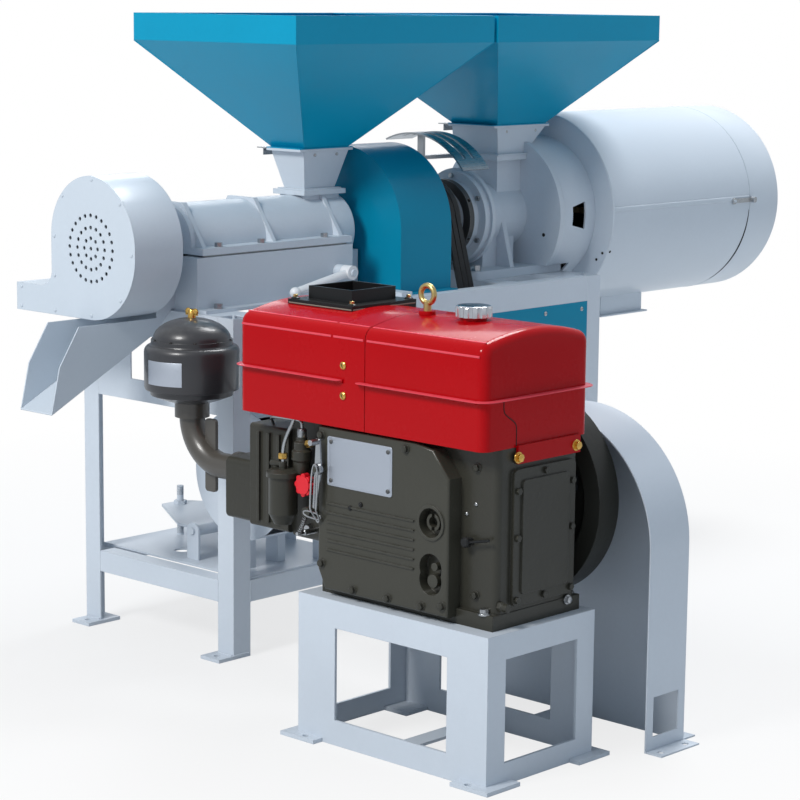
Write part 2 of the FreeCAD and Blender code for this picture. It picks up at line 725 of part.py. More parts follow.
def front_panel():
    y0 = -FRAME_HALF_Y
    return [box(FRONT_PANEL_LEFT, FRAME_HALF_X - LEG_WIDTH, y0, y0 + FRONT_PANEL_THICK,
                FRONT_PANEL_LOW, FRAME_TOP - TOP_RAIL_HEIGHT)]


def tension_plate():
    """The hinged motor plate with its pin barrel and clamping nuts."""
    tip_half = 34.0
    y1 = ROD_Y + 30
    x0 = PLATE_X0 + FREE_GAP
    x1 = PLATE_X1 - FREE_GAP
    z0 = PLATE_HINGE_Z + 3
    z1 = z0 + PLATE_THICK
    outline = [(x0, PLATE_HINGE_Y), (x1, PLATE_HINGE_Y), (x1, PLATE_HINGE_Y + 60), (ROD_X + tip_half, y1),
               (ROD_X - tip_half, y1), (x0, PLATE_HINGE_Y + 60)]
    plate = prism_z(outline, z0, z1)
    slot_r = ROD_R + 2.5
    plate = plate.cut(zcyl(slot_r, ROD_X, ROD_Y, z0 - 1, z1 + 1))
    barrel = xcyl(PLATE_HINGE_R, x0, x1, PLATE_HINGE_Y, PLATE_HINGE_Z)
    pin = xcyl(PLATE_PIN_R, PLATE_X0 - LUG_THICK - 6, PLATE_X1 + LUG_THICK + 6, PLATE_HINGE_Y, PLATE_HINGE_Z)
    body = fuse([plate, barrel, pin])
    nuts = []
    for low in (z0 - ROD_NUT_HEIGHT, z1):
        nut = hex_head(V(ROD_X, ROD_Y, low), V(0, 0, 1), 2 * ROD_NUT_R, ROD_NUT_HEIGHT)
        nuts.append(nut.cut(zcyl(ROD_R + ROD_NUT_PLAY, ROD_X, ROD_Y, low - 1, low + ROD_NUT_HEIGHT + 1)))
    return [body] + nuts


def pillow_block(x_mid):
    """A cast bearing block bolted to the back of a post."""
    half = BLOCK_WIDTH / 2
    y0 = -FRAME_HALF_Y + ANGLE_THICK + POST_DEPTH
    base = box(x_mid - half, x_mid + half, y0, y0 + BLOCK_BASE, COUNTER_Z - BLOCK_HEIGHT / 2,
               COUNTER_Z + BLOCK_HEIGHT / 2)
    neck = box(x_mid - half + 4, x_mid + half - 4, y0, COUNTER_Y, COUNTER_Z - BLOCK_R, COUNTER_Z + BLOCK_R)
    round_part = xcyl(BLOCK_R, x_mid - half + 4, x_mid + half - 4, COUNTER_Y, COUNTER_Z)
    collar = xcyl(BLOCK_R - 8, x_mid - half, x_mid + half, COUNTER_Y, COUNTER_Z)
    bore = xcyl(COUNTER_SHAFT_R + RUN_GAP, x_mid - half - 1, x_mid + half + 1, COUNTER_Y, COUNTER_Z)
    return fuse([base, neck, round_part, collar]).cut(bore)


def shaft_bearings():
    blocks = [pillow_block(LEFT_POST_X), pillow_block(RIGHT_POST_X)]
    bore_r = PEELER_SHAFT_R + RUN_GAP
    left_x0 = FAN_X1
    left = [xcyl(BEARING_FLANGE_R, left_x0, left_x0 + BEARING_FLANGE_THICK),
            xcyl(BEARING_BODY_R, left_x0, BARREL_X0),
            xcyl(BEARING_FLANGE_R, BARREL_X0 - BEARING_FLANGE_THICK, BARREL_X0)]
    blocks.append(fuse(left).cut(xcyl(bore_r, left_x0 - 1, BARREL_X0 + 1)))
    x0 = BARREL_X1
    x1 = RIGHT_BEARING_X1
    foot_top = FRAME_TOP + PEDESTAL_FOOT_THICK
    foot_end = FRAME_HALF_Y - RAIL_FLANGE + 30
    right = [xcyl(BEARING_FLANGE_R, x0, x0 + BEARING_FLANGE_THICK),
             xcyl(BEARING_BODY_R, x0, x1),
             box(x0 + 2, x1 - 4, -PEDESTAL_HALF_Y * 0.6, PEDESTAL_HALF_Y * 0.6, foot_top, SHAFT_Z - 10),
             box(x0 + 2, x1 - 4, -PEDESTAL_HALF_Y, PEDESTAL_HALF_Y, foot_top, SHAFT_Z - 50),
             box(x0 + 2, x1 - 4, -foot_end, foot_end, FRAME_TOP, foot_top)]
    blocks.append(fuse(right).cut(xcyl(bore_r, x0 - 1, x1 + 1)))
    return blocks


def peeler_casing():
    """The sheet casing under the barrel, with feet and the discharge opening."""
    x0, x1, half = CASE_X0, CASE_X1, CASE_HALF_Y
    wall = CASE_WALL
    shell = box(x0, x1, -half, half, FRAME_TOP, CASE_TOP)
    room = box(x0 + wall, x1 - wall, -half + wall, half - wall, FRAME_TOP - 1, CASE_TOP - CASE_LEDGE)
    trough = box(x0 + wall, x1 - wall, -BARREL_BORE_R, BARREL_BORE_R, FRAME_TOP, CASE_TOP + 1)
    outlet = box(x0 - 1, x0 + wall + 1, -OUTLET_HALF_Y, OUTLET_HALF_Y, FRAME_TOP + CASE_FOOT_THICK,
                 OUTLET_TOP)
    seat_l = xcyl(BEARING_FLANGE_R, x0 - 1, BARREL_X0)
    seat_r = xcyl(BARREL_R, x1 - wall - 1, x1 + 1)
    body = cut(shell, [room, trough, outlet, seat_l, seat_r])
    feet = []
    for side in (-1, 1):
        ys = sorted((side * half, side * (half + CASE_FOOT)))
        feet.append(box(x0, x1, *ys, FRAME_TOP, FRAME_TOP + CASE_FOOT_THICK))
    return [fuse([body] + feet)]


def barrel_section(radius, low):
    """The arched cross-section of the barrel as a solid between two X planes."""
    round_part = xcyl(radius, BARREL_X0, BARREL_X1)
    below = box(BARREL_X0 - 1, BARREL_X1 + 1, -radius - 1, radius + 1, SHAFT_Z - radius - 1, low)
    return round_part.cut(below)


def peeler_barrel():
    """The cast upper half of the peeling chamber."""
    low = CASE_TOP + SCREEN_FLANGE
    parts = [barrel_section(BARREL_R, low)]
    for side in (-1, 1):
        ys = sorted((side * (BARREL_R - 20), side * BARREL_FLANGE_HALF_Y))
        parts.append(box(BARREL_X0, CASE_X1, *ys, low, low + BARREL_FLANGE_THICK))
    span = (CASE_X1 - BARREL_X0 - 40) / (BARREL_RIB_COUNT - 1)
    for index in range(BARREL_RIB_COUNT):
        x = BARREL_X0 + 14 + index * span
        web = [(-BARREL_FLANGE_HALF_Y + 6, low), (-BARREL_R * 0.5, SHAFT_Z + BARREL_R + 4),
               (BARREL_R * 0.5, SHAFT_Z + BARREL_R + 4), (BARREL_FLANGE_HALF_Y - 6, low)]
        parts.append(prism_x(web, x, x + BARREL_RIB))
    parts.append(xcyl(BARREL_R, CASE_X1, BARREL_X1))
    wall = THROAT_WALL
    parts.append(box(THROAT_X0 - wall, THROAT_X1 + wall, -THROAT_HALF_Y - wall, THROAT_HALF_Y + wall,
                     SHAFT_Z + BARREL_R * 0.7, THROAT_TOP - 10))
    rim = wall + THROAT_RIM
    parts.append(box(THROAT_X0 - rim, THROAT_X1 + rim, -THROAT_HALF_Y - rim, THROAT_HALF_Y + rim,
                     THROAT_TOP - THROAT_RIM, THROAT_TOP))
    body = fuse(parts)
    chamber = xcyl(BARREL_BORE_R, BARREL_X0 + BARREL_END, BARREL_X1 - BARREL_END)
    mouth = box(THROAT_X0, THROAT_X1, -THROAT_HALF_Y, THROAT_HALF_Y, SHAFT_Z, THROAT_TOP + 1)
    ends = xcyl(PEELER_SHAFT_R + 4, BARREL_X0 - 1, BARREL_X1 + 1)
    below = box(BARREL_X0 - 1, CASE_X1, -BARREL_R - 1, BARREL_R + 1, SHAFT_Z - BARREL_R - 1, low)
    lug_bore = xcyl(PEELER_SHAFT_R + 4, CASE_X1 - 2, BARREL_X1 + 1)
    return [cut(body, [chamber, mouth, ends, below, lug_bore])]


def peeler_screen():
    """The slotted half sieve under the roller."""
    x0 = BARREL_X0 + BARREL_END + 1
    x1 = CASE_X1 - CASE_WALL - 2
    outer = SCREEN_R + SCREEN_WALL
    top = CASE_TOP + SCREEN_FLANGE
    trough = xtube(outer, SCREEN_R, x0, x1)
    trough = trough.cut(box(x0 - 1, x1 + 1, -outer - 1, outer + 1, CASE_TOP, SHAFT_Z + outer + 1))
    inner_y = math.sqrt(SCREEN_R ** 2 - (SHAFT_Z - CASE_TOP) ** 2)
    parts = [trough]
    for side in (-1, 1):
        ys = sorted((side * inner_y, side * (BARREL_FLANGE_HALF_Y - 12)))
        parts.append(box(x0, x1, *ys, CASE_TOP, top))
    slots = []
    pitch = (x1 - x0) / SCREEN_SLOT_COLS
    for index in range(SCREEN_SLOT_COLS):
        x = x0 + (index + 0.5) * pitch
        for side in (-1, 1):
            ys = sorted((side * 8.0, side * 44.0))
            slots.append(box(x - SCREEN_SLOT_WIDTH / 2, x + SCREEN_SLOT_WIDTH / 2, *ys,
                             SHAFT_Z - outer - 5, SHAFT_Z - 40))
    return [cut(fuse(parts), slots)]


def hopper(x_top, half_top, x_mouth, half_mouth, z_mouth):
    """An open sheet hopper: tapered walls, an upright lip and a mouth flange."""
    sheet = HOPPER_SHEET
    z_knee = HOPPER_TOP - HOPPER_LIP
    outer = [frustum(x_mouth, (-half_mouth, half_mouth), z_mouth, x_top, (-half_top, half_top), z_knee),
             box(*x_top, -half_top, half_top, z_knee, HOPPER_TOP)]
    x_in = (x_top[0] + sheet, x_top[1] - sheet)
    x_mouth_in = (x_mouth[0] + sheet, x_mouth[1] - sheet)
    y_in = half_top - sheet
    y_mouth_in = half_mouth - sheet
    inner = [frustum(x_mouth_in, (-y_mouth_in, y_mouth_in), z_mouth, x_in, (-y_in, y_in), z_knee),
             box(*x_in, -y_in, y_in, z_knee, HOPPER_TOP + 1),
             box(*x_mouth_in, -y_mouth_in, y_mouth_in, z_mouth - 20, z_mouth)]
    flange = box(x_mouth[0] - GATE_FLANGE, x_mouth[1] + GATE_FLANGE, -half_mouth - 2, half_mouth + 2,
                 z_mouth - sheet, z_mouth)
    hem = box(x_top[0], x_top[1], -half_top, half_top, HOPPER_TOP - sheet, HOPPER_TOP)
    hem_y = half_top - HOPPER_HEM
    hem_hole = box(x_top[0] + HOPPER_HEM, x_top[1] - HOPPER_HEM, -hem_y, hem_y,
                   HOPPER_TOP - sheet - 1, HOPPER_TOP + 1)
    shell = fuse(outer + [flange]).cut(fuse(inner))
    return [fuse([shell, hem.cut(hem_hole)])]


def neck(x_mouth, half_mouth, z_mouth, x_low, half_low, z_low):
    """A tapered sheet neck with the two rails that the gate slides between."""
    sheet = NECK_SHEET
    top = z_mouth - HOPPER_SHEET - GATE_SLOT
    outer = frustum(x_low, (-half_low, half_low), z_low, x_mouth, (-half_mouth, half_mouth), top - sheet)
    inner = frustum((x_low[0] + sheet, x_low[1] - sheet), (-half_low + sheet, half_low - sheet), z_low,
                    (x_mouth[0] + sheet, x_mouth[1] - sheet), (-half_mouth + sheet, half_mouth - sheet),
                    top - sheet)
    plate = box(x_mouth[0] - GATE_FLANGE, x_mouth[1] + GATE_FLANGE, -half_mouth - 2, half_mouth + 2,
                top - sheet, top)
    hole = box(x_mouth[0] + sheet, x_mouth[1] - sheet, -half_mouth + sheet, half_mouth - sheet,
               top - sheet - 1, top + 1)
    rails = []
    for x0, x1 in ((x_mouth[0] - GATE_FLANGE, x_mouth[0] - 4), (x_mouth[1] + 4, x_mouth[1] + GATE_FLANGE)):
        rails.append(box(x0, x1, -half_mouth - 2, half_mouth + 2, top, top + GATE_SLOT))
    stop = box(x_mouth[0] - 4, x_mouth[1] + 4, -half_mouth - 2, -half_mouth + 4, top, top + GATE_SLOT)
    foot = box(x_low[0] - 12, x_low[1] + 12, -half_low - 12, half_low + 12, z_low, z_low + sheet)
    foot_hole = box(x_low[0] + sheet, x_low[1] - sheet, -half_low + sheet, half_low - sheet, z_low - 1,
                    z_low + sheet + 1)
    body = fuse([outer, plate, foot] + rails + [stop])
    return cut(body, [inner, hole, foot_hole])


def hopper_necks():
    peeler = neck(PEELER_MOUTH_X, PEELER_MOUTH_HALF_Y, PEELER_MOUTH_Z, (THROAT_X0, THROAT_X1),
                  THROAT_HALF_Y, THROAT_TOP)
    plate_top = MILL_PLATE_Z + MILL_PLATE_THICK
    mill = neck(MILL_MOUTH_X, MILL_MOUTH_HALF_Y, MILL_MOUTH_Z, (MILL_MOUTH_X[0] + 6, MILL_FLANGE_X0),
                MILL_MOUTH_HALF_Y - 2, plate_top)
    mill = cut(mill, [xcyl(MILL_FLANGE_R, MILL_FLANGE_X0, MILL_FLANGE_X1),
                      xcyl(VENT_R, MILL_FLANGE_X1, DRUM_X0)])
    return [peeler, mill]


def gate(x_mouth, half_mouth, z_mouth):
    """A sliding sheet that shuts a hopper, with its folded pull at the back."""
    z0 = z_mouth - HOPPER_SHEET - GATE_SLOT + FREE_GAP
    z1 = z0 + GATE_THICK
    x0 = x_mouth[0] - 4 + FREE_GAP
    x1 = x_mouth[1] + 4 - FREE_GAP
    y1 = half_mouth + GATE_HANDLE
    plate = box(x0, x1, -half_mouth + 4 + FREE_GAP, y1, z0, z1)
    pull = box(x0 + 20, x1 - 20, y1 - GATE_THICK, y1, z0 - 18, z1)
    return [fuse([plate, pull])]


def scroll_outline(x, inset=0.0):
    """The fan's scroll with its level outlet towards the back, as a wire in a YZ plane."""
    top = V(x, 0, FAN_TOP - inset)
    left = V(x, FAN_LEFT_Y - inset, SHAFT_Z + 20)
    right = V(x, FAN_RIGHT_Y + inset, SHAFT_Z - 5)
    bottom = V(x, -5, FAN_BOTTOM + inset)
    z_top = FAN_OUTLET_TOP - inset
    y_wall = FAN_LEFT_Y - inset
    radius = FAN_NECK_R + inset
    neck_top = V(x, y_wall, z_top + radius)
    neck_out = V(x, y_wall + radius, z_top)
    corner = math.sqrt(0.5)
    neck_mid = V(x, y_wall + radius * (1 - corner), z_top + radius * (1 - corner))
    out_top = V(x, FAN_OUTLET_Y, z_top)
    out_low = V(x, FAN_OUTLET_Y, FAN_BOTTOM + inset)

    def quarter(a, b, centre):
        mid = V(x, centre.y + (a.y + b.y - 2 * centre.y) * corner,
                centre.z + (a.z + b.z - 2 * centre.z) * corner)
        return Part.Arc(a, mid, b).toShape()

    edges = [quarter(left, top, V(x, top.y, left.z)), quarter(top, right, V(x, top.y, right.z)),
             quarter(right, bottom, V(x, bottom.y, right.z)), Part.makeLine(bottom, out_low),
             Part.makeLine(out_low, out_top), Part.makeLine(out_top, neck_out),
             Part.Arc(neck_out, neck_mid, neck_top).toShape(), Part.makeLine(neck_top, left)]
    return Part.Wire(edges)


def fan_volute():
    outer = Part.Face(scroll_outline(FAN_X0)).extrude(V(FAN_X1 - FAN_X0, 0, 0))
    inner = Part.Face(scroll_outline(FAN_X0 - 1, FAN_SHEET)).extrude(V(FAN_X1 - FAN_X0 - FAN_SHEET + 1, 0, 0))
    mouth = box(FAN_X0, FAN_X1 - FAN_SHEET, FAN_OUTLET_Y - 2 * FAN_SHEET, FAN_OUTLET_Y + 1,
                FAN_BOTTOM + FAN_SHEET, FAN_OUTLET_TOP - FAN_SHEET)
    shaft_hole = xcyl(PEELER_SHAFT_R + 6, FAN_X1 - FAN_SHEET - 1, FAN_X1 + 1)
    return [cut(outer, [inner, mouth, shaft_hole])]


def fan_cover():
    plate = Part.Face(scroll_outline(FAN_X0)).extrude(V(-FAN_SHEET, 0, 0))
    holes = [xcyl(GRILLE_HOLE_R, FAN_X0 - FAN_SHEET - 1, FAN_X0 + 1)]
    for radius, count in zip(GRILLE_RADII, GRILLE_COUNTS):
        for dy, dz in ring_points(count, radius):
            holes.append(xcyl(GRILLE_HOLE_R, FAN_X0 - FAN_SHEET - 1, FAN_X0 + 1, dy, SHAFT_Z + dz))
    return [cut(plate, holes)]


def impeller():
    """Straight blades on a disc and hub."""
    x1 = FAN_X1 - FAN_SHEET - 14
    x0 = x1 - IMPELLER_WIDTH
    disc = xcyl(IMPELLER_R, x1 - 4, x1)
    hub = xcyl(PEELER_SHAFT_R + 16, x1 - 50, x1)
    blade = box(x0, x1, -2, 2, SHAFT_Z + PEELER_SHAFT_R + 10, SHAFT_Z + IMPELLER_R)
    blade = fuse([blade.cut(box(x0 - 1, x1 - 50, -3, 3, SHAFT_Z, SHAFT_Z + PEELER_SHAFT_R + 24))])
    body = fuse([disc, hub] + turned_copies(blade, IMPELLER_BLADES))
    return [body.cut(xcyl(PEELER_SHAFT_R, x0 - 1, x1 + 1))]


def chute():
    """The open channel that carries the grains out under the fan."""
    out = CHUTE_HALF_Y
    x_back = CASE_X0
    z_back = FRAME_TOP + CASE_FOOT_THICK
    side = [(CHUTE_MOUTH_X, CHUTE_MOUTH_Z), (CHUTE_KNEE_X, CHUTE_KNEE_Z), (x_back - 12, z_back - 4),
            (x_back, z_back - 4),
            (x_back, OUTLET_TOP), (FAN_X1 + 4, OUTLET_TOP), (FAN_X1 + 4, CHUTE_WALL_TOP),
            (CHUTE_MOUTH_X + CHUTE_BROW, CHUTE_WALL_TOP),
            (CHUTE_MOUTH_X + CHUTE_LIP[0], CHUTE_MOUTH_Z + CHUTE_LIP[1])]
    solid = prism_y(side, -out, out)
    t = CHUTE_SHEET
    room = [(CHUTE_MOUTH_X - 10, CHUTE_MOUTH_Z + t - 5), (CHUTE_KNEE_X, CHUTE_KNEE_Z + t),
            (x_back - 12, z_back), (x_back + 1, z_back),
            (x_back + 1, OUTLET_TOP + 10), (CHUTE_MOUTH_X - 10, OUTLET_TOP + 10)]
    solid = solid.cut(prism_y(room, -out + t, out - t))
    rail = box(-FRAME_HALF_X - 0.5, x_back + 1, -out - 1, out + 1, FRAME_TOP - TOP_RAIL_HEIGHT, FRAME_TOP)
    return [solid.cut(rail)]


def arch_solid(radius, x0, x1, z_low):
    round_part = xcyl(radius, x0, x1)
    return fuse([round_part.cut(box(x0 - 1, x1 + 1, -radius - 1, radius + 1, SHAFT_Z - radius - 1, SHAFT_Z)),
                 box(x0, x1, -radius, radius, z_low, SHAFT_Z)])


def pulley_guard():
    """The arched sheet guard over the peeler pulley, slotted for the shaft."""
    outer = arch_solid(GUARD_R, GUARD_X0, GUARD_X1, FRAME_TOP)
    inner = arch_solid(GUARD_R - GUARD_SHEET, GUARD_X0 + GUARD_SHEET, GUARD_X1 - GUARD_SHEET, FRAME_TOP - 1)
    slot = arch_solid(GUARD_SLOT / 2, GUARD_X0 - 1, GUARD_X0 + GUARD_SHEET + 1, FRAME_TOP - 1)
    feet = []
    for side in (-1, 1):
        ys = sorted((side * (GUARD_R - GUARD_SHEET), side * (GUARD_R + GUARD_FOOT)))
        feet.append(box(GUARD_X0, GUARD_X1, *ys, FRAME_TOP, FRAME_TOP + GUARD_SHEET))
    return [fuse([cut(outer, [inner, slot])] + feet)]


def feed_way():
    """The upright way of the grain down to the mill's screw, as a solid to cut with."""
    wall = MILL_THROAT_WALL
    half_y = MILL_THROAT_HALF_Y - wall
    return box(MILL_THROAT_X0 + wall, MILL_FLANGE_X0 - wall, -half_y, half_y,
               SHAFT_Z, MILL_PLATE_Z + MILL_PLATE_THICK + 1)


def feed_box():
    """The feed box: the upper half of the round body under it, its walls and its top plate."""
    x0, x1 = MILL_THROAT_X0, MILL_FLANGE_X0
    rim = MILL_PLATE_RIM
    saddle = xcyl(MILL_BODY_R, x0, x1).cut(upper_room().mirror(V(0, 0, SHAFT_Z), V(0, 0, 1)))
    walls = box(x0, x1, -MILL_THROAT_HALF_Y, MILL_THROAT_HALF_Y, SHAFT_Z, MILL_PLATE_Z)
    plate = box(MILL_MOUTH_X[0] - rim, x1, -MILL_MOUTH_HALF_Y - rim, MILL_MOUTH_HALF_Y + rim,
                MILL_PLATE_Z, MILL_PLATE_Z + MILL_PLATE_THICK)
    return cut(fuse([saddle, walls, plate]), [feed_way(), xcyl(MILL_BORE_R, x0 - 1, x1 + 1)])


def upper_room():
    """The upper half of the round body where the feed box sits, as a solid to cut with."""
    reach = MILL_BODY_R + 1
    return box(MILL_THROAT_X0, MILL_FLANGE_X0, -reach, reach, SHAFT_Z, SHAFT_Z + reach)


def cone_room():
    """The conical room that the grinding cone turns in, as a solid to cut with."""
    x0, x1 = MILL_FLANGE_X1, GRIND_X1
    rise = (CONE_LARGE_R - CONE_SMALL_R) / (x1 - x0)
    return turned_x([(x0 - 1, 0), (x0 - 1, CONE_SMALL_R + CONE_GAP - rise),
                     (x1 + 1, CONE_LARGE_R + CONE_GAP + rise), (x1 + 1, 0)], 0, SHAFT_Z)


def mill_body():
    """The mill casting with its flanges, pedestal and foot, the feed box and the fixed grinding ring."""
    x0, x1 = MILL_BODY_X0, MILL_FLANGE_X1
    foot_top = FRAME_TOP + MILL_FOOT_THICK
    parts = [xcyl(MILL_BODY_R, x0, x1), xcyl(MILL_LEFT_FLANGE_R, x0, x0 + MILL_LEFT_FLANGE_THICK),
             xcyl(MILL_FLANGE_R, MILL_FLANGE_X0, x1),
             box(*MILL_PEDESTAL_X, -MILL_PEDESTAL_HALF_Y, MILL_PEDESTAL_HALF_Y, foot_top - 1, SHAFT_Z)]
    gusset = [(-MILL_FOOT_HALF_Y + 14, foot_top - 1), (-MILL_BODY_R + 4, SHAFT_Z), (MILL_BODY_R - 4, SHAFT_Z),
              (MILL_FOOT_HALF_Y - 14, foot_top - 1)]
    mid_x = (MILL_PEDESTAL_X[0] + MILL_PEDESTAL_X[1]) / 2
    parts.append(prism_x(gusset, mid_x - 8, mid_x + 8))
    reach = MILL_FLANGE_R + 1
    body = fuse(parts).cut(box(x0 - 1, x1 + 1, -reach, reach, SHAFT_Z - reach, foot_top))
    foot = box(MILL_FOOT_X0, FRAME_HALF_X, -MILL_FOOT_HALF_Y, MILL_FOOT_HALF_Y, FRAME_TOP, foot_top)
    casting = fuse([body, vertical_fillet(foot, 18)])
    casting = cut(casting, [upper_room(), xcyl(MILL_BORE_R, x0 - 1, x1 + 1), cone_room()])
    ring = xcyl(GRIND_RING_R, x1, GRIND_X1).cut(cone_room())
    return [casting, feed_box(), ring]


def mill_cap():
    """The stepped bearing housing at the left end of the mill."""
    steps = [xcyl(radius, MILL_BODY_X0 - far, MILL_BODY_X0 - near) for near, far, radius in MILL_CAP_STEPS]
    body = fuse(steps)
    return [body.cut(xcyl(MILL_SHAFT_R + RUN_GAP, MILL_BODY_X0 - 100, MILL_BODY_X0 + 1))]


def adjusting_ring():
    near, far, radius = MILL_CAP_STEPS[2]
    x0 = MILL_BODY_X0 - far + FREE_GAP
    x1 = MILL_BODY_X0 - near - FREE_GAP
    ring = xtube(ADJUST_RING_R, radius + RUN_GAP, x0, x1)
    hole = zcyl(5.0, (x0 + x1) / 2, 0, SHAFT_Z + radius + 8, SHAFT_Z + ADJUST_RING_R + 1)
    return [cut(ring, turned_copies(hole, ADJUST_HOLES))]


def belt_cover():
    """The slotted strip cover over the mill pulley, held by a bar from the throat plate."""
    x0, x1 = BELT_COVER_X
    band = xtube(BELT_COVER_R, BELT_COVER_R - BELT_COVER_SHEET, x0, x1)
    reach = 2 * BELT_COVER_R
    back = math.radians(BELT_COVER_BACK)
    front = math.radians(BELT_COVER_FRONT)
    wedge = prism_x([(0, SHAFT_Z), (reach * math.sin(back), SHAFT_Z + reach * math.cos(back)),
                     (0, SHAFT_Z + reach),
                     (-reach * math.sin(front), SHAFT_Z + reach * math.cos(front))], x0 - 1, x1 + 1)
    band = band.common(wedge)
    slots = []
    for index in (-1, 1):
        mid = (x0 + x1) / 2 + index * 16
        slots.append(box(mid - 5, mid + 5, -0.68 * BELT_COVER_R, 0.27 * BELT_COVER_R,
                         SHAFT_Z + BELT_COVER_R / 2, SHAFT_Z + BELT_COVER_R + 5))
    z1 = MILL_PLATE_Z + MILL_PLATE_THICK
    y0, y1 = BELT_COVER_ARM_Y
    arm = box(x1 - 12, MILL_MOUTH_X[0] - MILL_PLATE_RIM, y0, y1, z1 - 10, z1)
    top = SHAFT_Z + math.sqrt(BELT_COVER_R ** 2 - y1 ** 2) - BELT_COVER_SHEET - 1
    upright = box(x1 - 12, x1 - 4, y0, y1, z1 - 10, top + 2)
    return [fuse([cut(band, slots), arm, upright])]


def vent_ring():
    """The windowed ring between the mill flange and the sieve drum."""
    x0, x1 = MILL_FLANGE_X1, DRUM_X0
    ring = xtube(VENT_R, VENT_R - VENT_WALL, x0, x1)
    collar = xtube(VENT_R, VENT_R - VENT_COLLAR, x1 - 6, x1)
    ring = fuse([ring, collar])
    mid = (x0 + x1) / 2
    half = 26.0
    window = prism_z([(mid - half, -24), (mid + half, -36), (mid + half, 36), (mid - half, 24)],
                     SHAFT_Z + VENT_R - 30, SHAFT_Z + VENT_R + 5)
    windows = turned_copies(window, VENT_WINDOWS)
    foot_top = FRAME_TOP + MILL_FOOT_THICK
    windows = [w for w in windows if w.BoundBox.ZMin > foot_top + 4]
    below = box(x0 - 1, FRAME_HALF_X + 2, -VENT_R - 5, VENT_R + 5, SHAFT_Z - VENT_R - 5, foot_top)
    over = [w for w in windows if w.BoundBox.ZMax > MILL_PLATE_Z + MILL_PLATE_THICK]
    windows = [w for w in windows if w not in over]
    return [cut(ring, windows + [below])]


def hinge_knuckle(z0, z1, x_side):
    """One knuckle of the door hinge with its leaf against the drum wall."""
    x0 = DOOR_X0
    eye = zcyl(DOOR_HINGE_R, x0, DOOR_HINGE_Y, z0, z1)
    xs = sorted((x0, x0 + x_side * 34))
    leaf = box(*xs, DRUM_R * 0.9, DOOR_HINGE_Y, z0, z1)
    leaf = leaf.cut(xcyl(DRUM_R - 0.5, x0 - 60, x0 + 60))
    leaf = leaf.common(box(xs[0], xs[1], 0, DOOR_HINGE_Y + 1, z0, z1))
    return [eye, leaf]


def sieve_drum():
    """The round flour drum with its front wall, spout and fixed hinge knuckles."""
    x0, x1 = DRUM_X0, DOOR_X0
    shell = xtube(DRUM_R, DRUM_R - DRUM_WALL, x0, x1)
    front = xtube(DRUM_R, VENT_R - VENT_COLLAR, x0, x0 + DRUM_FRONT)
    spout = box(*SPOUT_X, -SPOUT_HALF_Y, SPOUT_HALF_Y, SPOUT_LOW, SHAFT_Z)
    rim = SPOUT_RIM
    lip = box(SPOUT_X[0] - rim, SPOUT_X[1] + rim, -SPOUT_HALF_Y - rim, SPOUT_HALF_Y + rim, SPOUT_LOW,
              SPOUT_LOW + 4)
    spout = spout.cut(xcyl(DRUM_R - DRUM_WALL, x0, x1))
    spout = spout.cut(box(*SPOUT_X, -SPOUT_HALF_Y, SPOUT_HALF_Y, SHAFT_Z - 60, SHAFT_Z + 1))
    wall = DRUM_WALL
    way = box(SPOUT_X[0] + wall, SPOUT_X[1] - wall, -SPOUT_HALF_Y + wall, SPOUT_HALF_Y - wall,
              SPOUT_LOW - 1, SHAFT_Z - 60)
    knuckles = []
    for low in (-60, 32):
        knuckles += hinge_knuckle(SHAFT_Z + low, SHAFT_Z + low + 28, -1)
    room = xcyl(DRUM_R - DRUM_WALL, x0 + DRUM_FRONT, x1 + 1)
    body = fuse([shell, front, spout, lip, latch_post()] + knuckles)
    pin_low = SHAFT_Z - 60
    pin_hole = zcyl(DOOR_PIN_R, DOOR_X0, DOOR_HINGE_Y, pin_low - 1, SHAFT_Z + 61)
    door_side = box(x1, x1 + 40, 0, DOOR_HINGE_Y - DOOR_HINGE_R - 0.2, SHAFT_Z - 80, SHAFT_Z + 80)
    pin = zcyl(DOOR_PIN_R, DOOR_X0, DOOR_HINGE_Y, pin_low, SHAFT_Z + 60)
    return [cut(body, [way, room, pin_hole, door_side]), pin]


def door_cap(x0):
    """The rounded end cap of the drum."""
    r, t, x1 = DRUM_R, DRUM_WALL, DRUM_X1
    outside = [(x0, r), (x1 - 10, r), (x1 - 3, r - 3), (x1, r - 10), (x1, 0)]
    inside = [(x1 - t, 0), (x1 - t, r - 11), (x1 - 11, r - t), (x0, r - t)]
    return turned_x(outside + inside, 0, SHAFT_Z)


def drum_door():
    """The end cap that opens on its back hinge."""
    x0 = DOOR_X0 + DOOR_GAP
    z0 = SHAFT_Z - 32 + FREE_GAP
    z1 = SHAFT_Z + 32 - FREE_GAP
    eye, leaf = hinge_knuckle(z0, z1, 1)
    leaf = leaf.cut(box(DOOR_X0 - 60, x0, 0, DOOR_HINGE_Y - DOOR_HINGE_R - 0.2, z0 - 1, z1 + 1))
    body = fuse([door_cap(x0), eye, leaf])
    return [body.cut(zcyl(DOOR_PIN_R + RUN_GAP, DOOR_X0, DOOR_HINGE_Y, z0 - 1, z1 + 1))]


def latch_face():
    return -DRUM_R - 3


def latch_post():
    """The screwed post on the drum that the door latch turns on."""
    y0 = latch_face()
    x = LATCH_X0
    boss = rod(9, V(x, y0, LATCH_Z), V(x, -DRUM_R * 0.98, LATCH_Z))
    pin = rod(LATCH_PIN_R, V(x, y0 - 9, LATCH_Z), V(x, y0, LATCH_Z))
    return fuse([boss, pin]).cut(xcyl(DRUM_R - 1, x - 20, x + 20))


